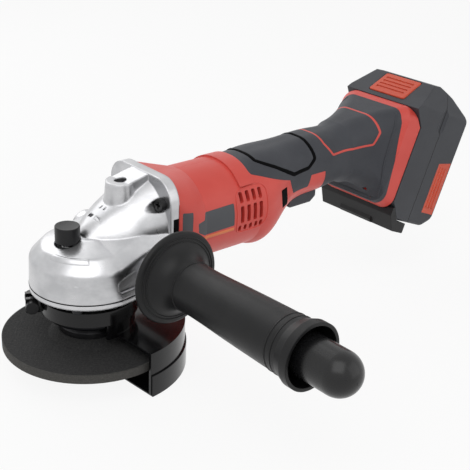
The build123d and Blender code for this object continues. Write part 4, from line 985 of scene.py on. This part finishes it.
@dataclass
class Housing:
    """Red shells with their overmould, plates, stripe and louvres."""

    stripe: Patch = Patch((0.0695, 0.0738), (0.0962, 0.0762), 0.00012, (16, 3))
    # Painted shade: near-black patches for the shade inside the slot at the head's flange and inside the
    # trigger's opening
    flange_slot: Patch = Patch((0.0435, 0.085), (0.0478, 0.095), 0.0001, (4, 8))
    trigger_gap: Patch = Patch((0.1445, 0.0772), (0.1525, 0.0915), 0.0001, (6, 8), slant=-0.003)
    louvre_frame: Bead = Bead(
        ((0.0985, 0.0705), (0.1225, 0.0705), (0.1265, 0.078), (0.1262, 0.099), (0.121, 0.1015),
         (0.1005, 0.1), (0.0985, 0.096)),
        0.0012, 0.0005, closed=True,
    )
    crease: Bead = Bead(
        ((0.2617, 0.1258), (0.2579, 0.1204), (0.2535, 0.1074), (0.2484, 0.09), (0.2429, 0.0636)),
        0.0016, 0.0004,
    )
    groove: Bead = Bead(
        ((0.1286, 0.112), (0.1408, 0.1071), (0.1596, 0.0975), (0.1758, 0.0982), (0.1824, 0.104),
         (0.1809, 0.112)),
        0.003, 0.0004, step=0.0007,
    )
    groove_slopes: Point = (-2 / 28, -4.5 / 28)
    crossing_steps: int = 12
    axis_height: float = 0.095
    view_radius: float = 0.2
    edge_up: float = -0.0028
    edge_reach: float = 0.0235
    edge_steps: int = 20
    edge_width: float = 0.0028
    edge_height: float = 0.0003
    edge_view: float = 0.04
    trigger_travel: float = 0.00274

    def dress(self) -> None:
        """Give the housing's nodes their finishes."""
        coat(Finish.RED, "housing_left", "housing_right")
        coat(Finish.RUBBER, "grip_overmould_left", "grip_overmould_right")
        coat(Finish.RUBBER, "front_grip_pad", "rear_grip_pad", "trigger")
        coat(Finish.LABEL, "label_plates", "inlay_pads")
        coat(Finish.BLACK, "battery_rail")

    def over_top(self, x: float, turn: float) -> Ray:
        """Ray towards the handle's middle line, at an angle from straight up."""
        out = Vector((0, math.sin(turn), math.cos(turn)))
        return Vector((x, 0, self.axis_height)) + out * self.view_radius, -out

    def crossing(self, skin: Skin, start: Vector, slope: float) -> list[Spot]:
        """Follow the groove over the top of the handle to the other side.

        Args:
            skin: Surface at the groove's bottom.
            start: Where the groove leaves the near or the far side.
            slope: How far it moves along the handle for each metre that it climbs.

        Returns:
            Points and normals between the two sides.
        """
        first = math.atan2(start.y, start.z - self.axis_height)
        spots = []
        for k in range(1, 2 * self.crossing_steps):
            turn = first * (1 - k / self.crossing_steps)
            height = skin.meet(*self.over_top(start.x, turn))[0].z
            spots.append(skin.meet(*self.over_top(start.x + slope * (height - start.z), turn)))
        return spots

    def groove_line(self) -> None:
        """Paint shade as a near-black bead along the bottom of the groove round the front grip pad."""
        skin = Skin("housing_left", "housing_right")
        walk = self.groove.walk()
        near, far = ([skin.meet(*side.aim(*spot)) for spot in walk] for side in Side)
        front, back = self.groove_slopes
        spots = near + self.crossing(skin, near[-1][0], back)
        spots += far[::-1] + self.crossing(skin, far[0][0], front)
        line = bmesh.new()
        tube(line, *zip(*spots), self.groove.width, self.groove.height, closed=True)
        piece("pad_groove_painted_shade", line, "tool", Finish.SHADOW)

    def foot_edge(self) -> None:
        """Thicken the front edge of the foot, where the overmould thins out over the shells."""
        skin = Skin("housing_left", "housing_right", "grip_overmould_left", "grip_overmould_right")
        start = JOINT + RAIL_UP * self.edge_up - RAIL_BACK * self.edge_view
        steps = range(-self.edge_steps, self.edge_steps + 1)
        shifts = [Vector((0, self.edge_reach * k / self.edge_steps, 0)) for k in steps]
        path = [skin.meet(start + shift, RAIL_BACK)[0] for shift in shifts]
        edge = bmesh.new()
        tube(edge, path, [-RAIL_BACK] * len(path), self.edge_width, self.edge_height)
        piece("foot_edge", edge, "tool", Finish.RUBBER)

    def build(self) -> None:
        """Dress the shells, lay the stripe, frames and fine lines on them, and add the trigger's coil."""
        self.dress()
        stripes, frames, shade_patches, creases = (bmesh.new() for _ in range(4))
        head = Skin("gear_housing")
        for side, hand in ((Side.NEAR, "left"), (Side.FAR, "right")):
            shell = Skin(f"housing_{hand}")
            grip = Skin(f"housing_{hand}", f"grip_overmould_{hand}", "rear_grip_pad")
            self.stripe.lay(stripes, shell, side.aim)
            self.louvre_frame.lay(frames, shell, side.aim)
            # Painted shade in the flange's slot and the trigger's opening
            self.flange_slot.lay(shade_patches, head, side.aim)
            self.trigger_gap.lay(shade_patches, shell, side.aim)
            self.crease.lay(creases, grip, side.aim)
        piece("label_stripe", stripes, "tool", Finish.STRIPE)
        piece("louvre_frames", frames, "tool", Finish.RED)
        piece("painted_shade_slots", shade_patches, "tool", Finish.SHADOW)
        piece("foot_creases", creases, "tool", Finish.RUBBER)
        self.groove_line()
        self.foot_edge()
        Spring("trigger_spring", "trigger_pull", self.trigger_travel, seat_is_low=False).build()


@dataclass
class SideHandle:
    """Removable handle with its hand flange and domed core."""

    middle: Triple = (0.0275, 0.0, 0.0683)
    grip_rings: tuple[float, ...] = (0.0735, 0.158, 0.1625)
    grip_ring_height: float = 0.00035
    flange_rings: tuple[float, ...] = (0.0272, 0.0252)
    flange_ring_height: float = 0.000525
    ring_width: float = 0.0011
    ring_points: int = 72
    view_radius: float = 0.1
    view_distance: float = 0.3

    def spoke(self, turn: float) -> Vector:
        """Unit vector square to the handle's axis."""
        return Vector((math.cos(turn), 0, math.sin(turn)))

    def at_grip(self, reach: float, turn: float) -> Ray:
        """Ray towards the axis, at a distance along the handle."""
        out = self.spoke(turn)
        return Vector(self.middle) + out * self.view_radius - Y_AXIS * reach, -out

    def at_flange(self, radius: float, turn: float) -> Ray:
        """Ray along the handle, at a distance from the axis."""
        return Vector(self.middle) + self.spoke(turn) * radius - Y_AXIS * self.view_distance, Y_AXIS

    def dress(self) -> None:
        """Give the handle's nodes their finishes."""
        coat(Finish.HANDLE, "side_handle_grip")
        coat(Finish.DOME, "side_handle_core")
        coat(Finish.STEEL, "handle_stud")

    def build(self) -> None:
        """Dress the handle and raise the fine rings on its grip and hand flange."""
        self.dress()
        skin = Skin("side_handle_grip")
        rings = bmesh.new()
        turns = [2 * math.pi * k / self.ring_points for k in range(self.ring_points)]
        for aim, places, height in (
            (self.at_grip, self.grip_rings, self.grip_ring_height),
            (self.at_flange, self.flange_rings, self.flange_ring_height),
        ):
            for place in places:
                spots = [skin.meet(*aim(place, turn)) for turn in turns]
                tube(rings, *zip(*spots), self.ring_width, height, closed=True)
        piece("handle_rings", rings, "tool", Finish.HANDLE)


@dataclass
class Battery:
    """Slide-on battery with its release button and side panels."""

    half_width: float = 0.037
    rib_places: tuple[float, ...] = (0.0435, 0.0471, 0.0507)
    rib_low: float = 0.0015
    rib_high: float = 0.0355
    rib_steps: int = 12
    rib_width: float = 0.0022
    rib_height: float = 0.0005
    taper_start: float = 0.076
    taper_slope: float = 0.4
    slit_corners: tuple[Point, ...] = (
        (0.0156, 0.08115), (0.0484, 0.08115), (0.0363, 0.08735), (0.0216, 0.08735),
    )
    fill_rings: tuple[Point, ...] = ((-0.0009, 0.86), (-0.0001, 1.0), (0.00005, 1.0))

    def place(self, back: float, up: float, side: Side) -> Vector:
        """Point on the battery's side, so far behind the joint face and so far along the rail."""
        return JOINT + RAIL_BACK * back + RAIL_UP * up + side.out() * self.half_width

    def on_taper(self, back: float, up: float, side: Side) -> Vector:
        """Point on the sloping upper corner above the battery's side."""
        return self.place(back, up, side) - side.out() * (self.taper_slope * (up - self.taper_start))

    def dress(self) -> None:
        """Give the battery's nodes their finishes."""
        coat(Finish.BATTERY, "battery_case", "battery_cover")
        coat(Finish.PANEL, "battery_side_panels", "battery_release_button")
        coat(Finish.COPPER, "battery_contacts")
        coat(Finish.SLEEVE, "battery_cells")
        coat(Finish.BLACK, "cell_holder")
        coat(Finish.BOARD, "battery_board")
        coat(Finish.STEEL, "battery_screws")

    def corner_fills(self) -> None:
        """Close the slit that the cells' space leaves in each sloping upper corner of the case."""
        fills = bmesh.new()
        corners = [Vector(corner) for corner in self.slit_corners]
        middle = sum(corners, Vector((0, 0))) / len(corners)
        for side in Side:
            outward = (side.out() + RAIL_UP * self.taper_slope).normalized()
            rings = []
            for lift, share in self.fill_rings:
                spots = [middle.lerp(corner, share) for corner in corners]
                points = [self.on_taper(back, up, side) + outward * lift for back, up in spots]
                rings.append([fills.verts.new(point) for point in points])
            loft(fills, rings)
        piece("battery_corner_fills", fills, "battery", Finish.FILL, smooth=False)

    def build(self) -> None:
        """Dress the battery, close its corners and raise the long ribs on its side panels."""
        self.dress()
        self.corner_fills()
        ribs = bmesh.new()
        reach = self.rib_high - self.rib_low
        heights = [self.rib_low + reach * k / self.rib_steps for k in range(self.rib_steps + 1)]
        for side in Side:
            for back in self.rib_places:
                path = [self.place(back, up, side) for up in heights]
                tube(ribs, path, [side.out()] * len(path), self.rib_width, self.rib_height)
        piece("panel_ribs", ribs, "battery", Finish.PANEL)


@dataclass(frozen=True)
class Lamp:
    """A soft square area lamp: where it hangs, what it faces, its width and its power in watts."""

    name: str
    place: Triple
    aim: Triple
    size: float
    power: float

    def hang(self) -> None:
        """Hang the lamp and turn it to what it faces."""
        data = bpy.data.lights.new(self.name, "AREA")
        data.size = self.size
        data.energy = self.power
        lamp = bpy.data.objects.new(self.name, data)
        lamp.location = Vector(self.place)
        lamp.rotation_euler = (Vector(self.aim) - Vector(self.place)).to_track_quat("-Z", "Y").to_euler()
        bpy.context.scene.collection.objects.link(lamp)


@dataclass
class Studio:
    """Pale floor, soft lights and the camera of the photograph."""

    azimuth: float = math.radians(-41.66)
    elevation: float = math.radians(24.02)
    roll: float = math.radians(2.27)
    distance: float = 0.69185
    target: Triple = (0.08825, -0.04208, 0.07611)
    lens: float = 79.67
    sensor: float = 36.0
    clip_start: float = 0.01
    floor_drop: float = 0.0006
    floor_middle: float = 0.1
    floor_reach: float = 3.0
    floor_sides: int = 96
    floor_glow: float = 0.9
    floor_tones: tuple[Colour, Colour] = ((0.9, 0.9, 0.9), (0.92, 0.92, 0.92))
    floor_paper: Texture = Texture(30.0, 2.0, 0.5)
    floor_roughness: float = 0.9
    room_light: float = 0.36
    lamps: tuple[Lamp, ...] = (
        Lamp("key", (-0.45, -0.45, 0.95), (0.1, -0.05, 0.05), 1.0, 4.4),
        Lamp("fill", (0.55, -0.9, 0.45), (0.1, -0.05, 0.05), 0.9, 1.4),
        Lamp("rim", (0.1, 0.8, 0.7), (0.1, 0.0, 0.06), 0.8, 2.6),
    )

    def camera(self) -> None:
        """Stand the camera where the photograph was taken."""
        back = Vector((
            math.sin(self.azimuth) * math.cos(self.elevation),
            -math.cos(self.azimuth) * math.cos(self.elevation),
            math.sin(self.elevation),
        ))
        level = Vector((math.cos(self.azimuth), math.sin(self.azimuth), 0))
        right = (level * math.cos(self.roll) + back.cross(level) * math.sin(self.roll)).normalized()
        upward = back.cross(right)
        data = bpy.data.cameras.new("camera")
        data.lens = self.lens
        data.sensor_width = self.sensor
        data.sensor_fit = "AUTO"
        data.clip_start = self.clip_start
        camera = bpy.data.objects.new("camera", data)
        turn = Matrix((right, upward, back)).transposed()
        camera.matrix_world = Matrix.Translation(Vector(self.target) + back * self.distance) @ turn.to_4x4()
        bpy.context.scene.collection.objects.link(camera)
        bpy.context.scene.camera = camera

    def floor(self) -> None:
        """Lay a pale floor that shows white to the camera and still takes the shadow."""
        low = CAD_BOX[0][2] - self.floor_drop
        mesh = bmesh.new()
        bmesh.ops.create_circle(mesh, cap_ends=True, segments=self.floor_sides, radius=self.floor_reach)
        bmesh.ops.translate(mesh, vec=(self.floor_middle, 0, low), verts=mesh.verts)
        data = bpy.data.meshes.new("floor")
        mesh.to_mesh(data)
        mesh.free()
        floor = bpy.data.objects.new("floor", data)
        graph = Coating("pale_floor")
        paper = graph.blend(graph.noise(self.floor_paper), *self.floor_tones)
        graph.finish(Base_Color=paper, Roughness=self.floor_roughness)
        glow = graph.node("ShaderNodeEmission", {}, {"Strength": 1.0})
        mixed = graph.mixed(graph.seen() * self.floor_glow, graph.surface, glow)
        graph.feed(graph.output.inputs["Surface"], mixed)
        data.materials.append(graph.material)
        bpy.context.scene.collection.objects.link(floor)

    def world(self) -> None:
        """Fill the room with even white light, in front of a white backdrop."""
        world = bpy.data.worlds.new("studio")
        bpy.context.scene.world = world
        world.use_nodes = True
        graph = Graph(world.node_tree)
        lit, backdrop = (
            graph.node("ShaderNodeBackground", {}, {"Color": (1.0, 1.0, 1.0, 1.0), "Strength": strength})
            for strength in (self.room_light, 1.0)
        )
        mixed = graph.mixed(graph.seen(), lit, backdrop)
        graph.node("ShaderNodeOutputWorld", {}, {"Surface": mixed})

    def build(self) -> None:
        """Set the stage."""
        self.world()
        self.floor()
        for lamp in self.lamps:
            lamp.hang()
        self.camera()
        bpy.context.scene.view_settings.view_transform = "Standard"


def main() -> None:
    """Build the tool's looks in order."""
    logging.basicConfig(level=logging.INFO, format="%(name)s: %(message)s")
    GearHead().build()
    DiscStack().dress()
    GuardSet().dress()
    Motor().dress()
    Housing().build()
    SideHandle().build()
    Battery().build()
    Studio().build()


if __name__ == "__main__":
    main()
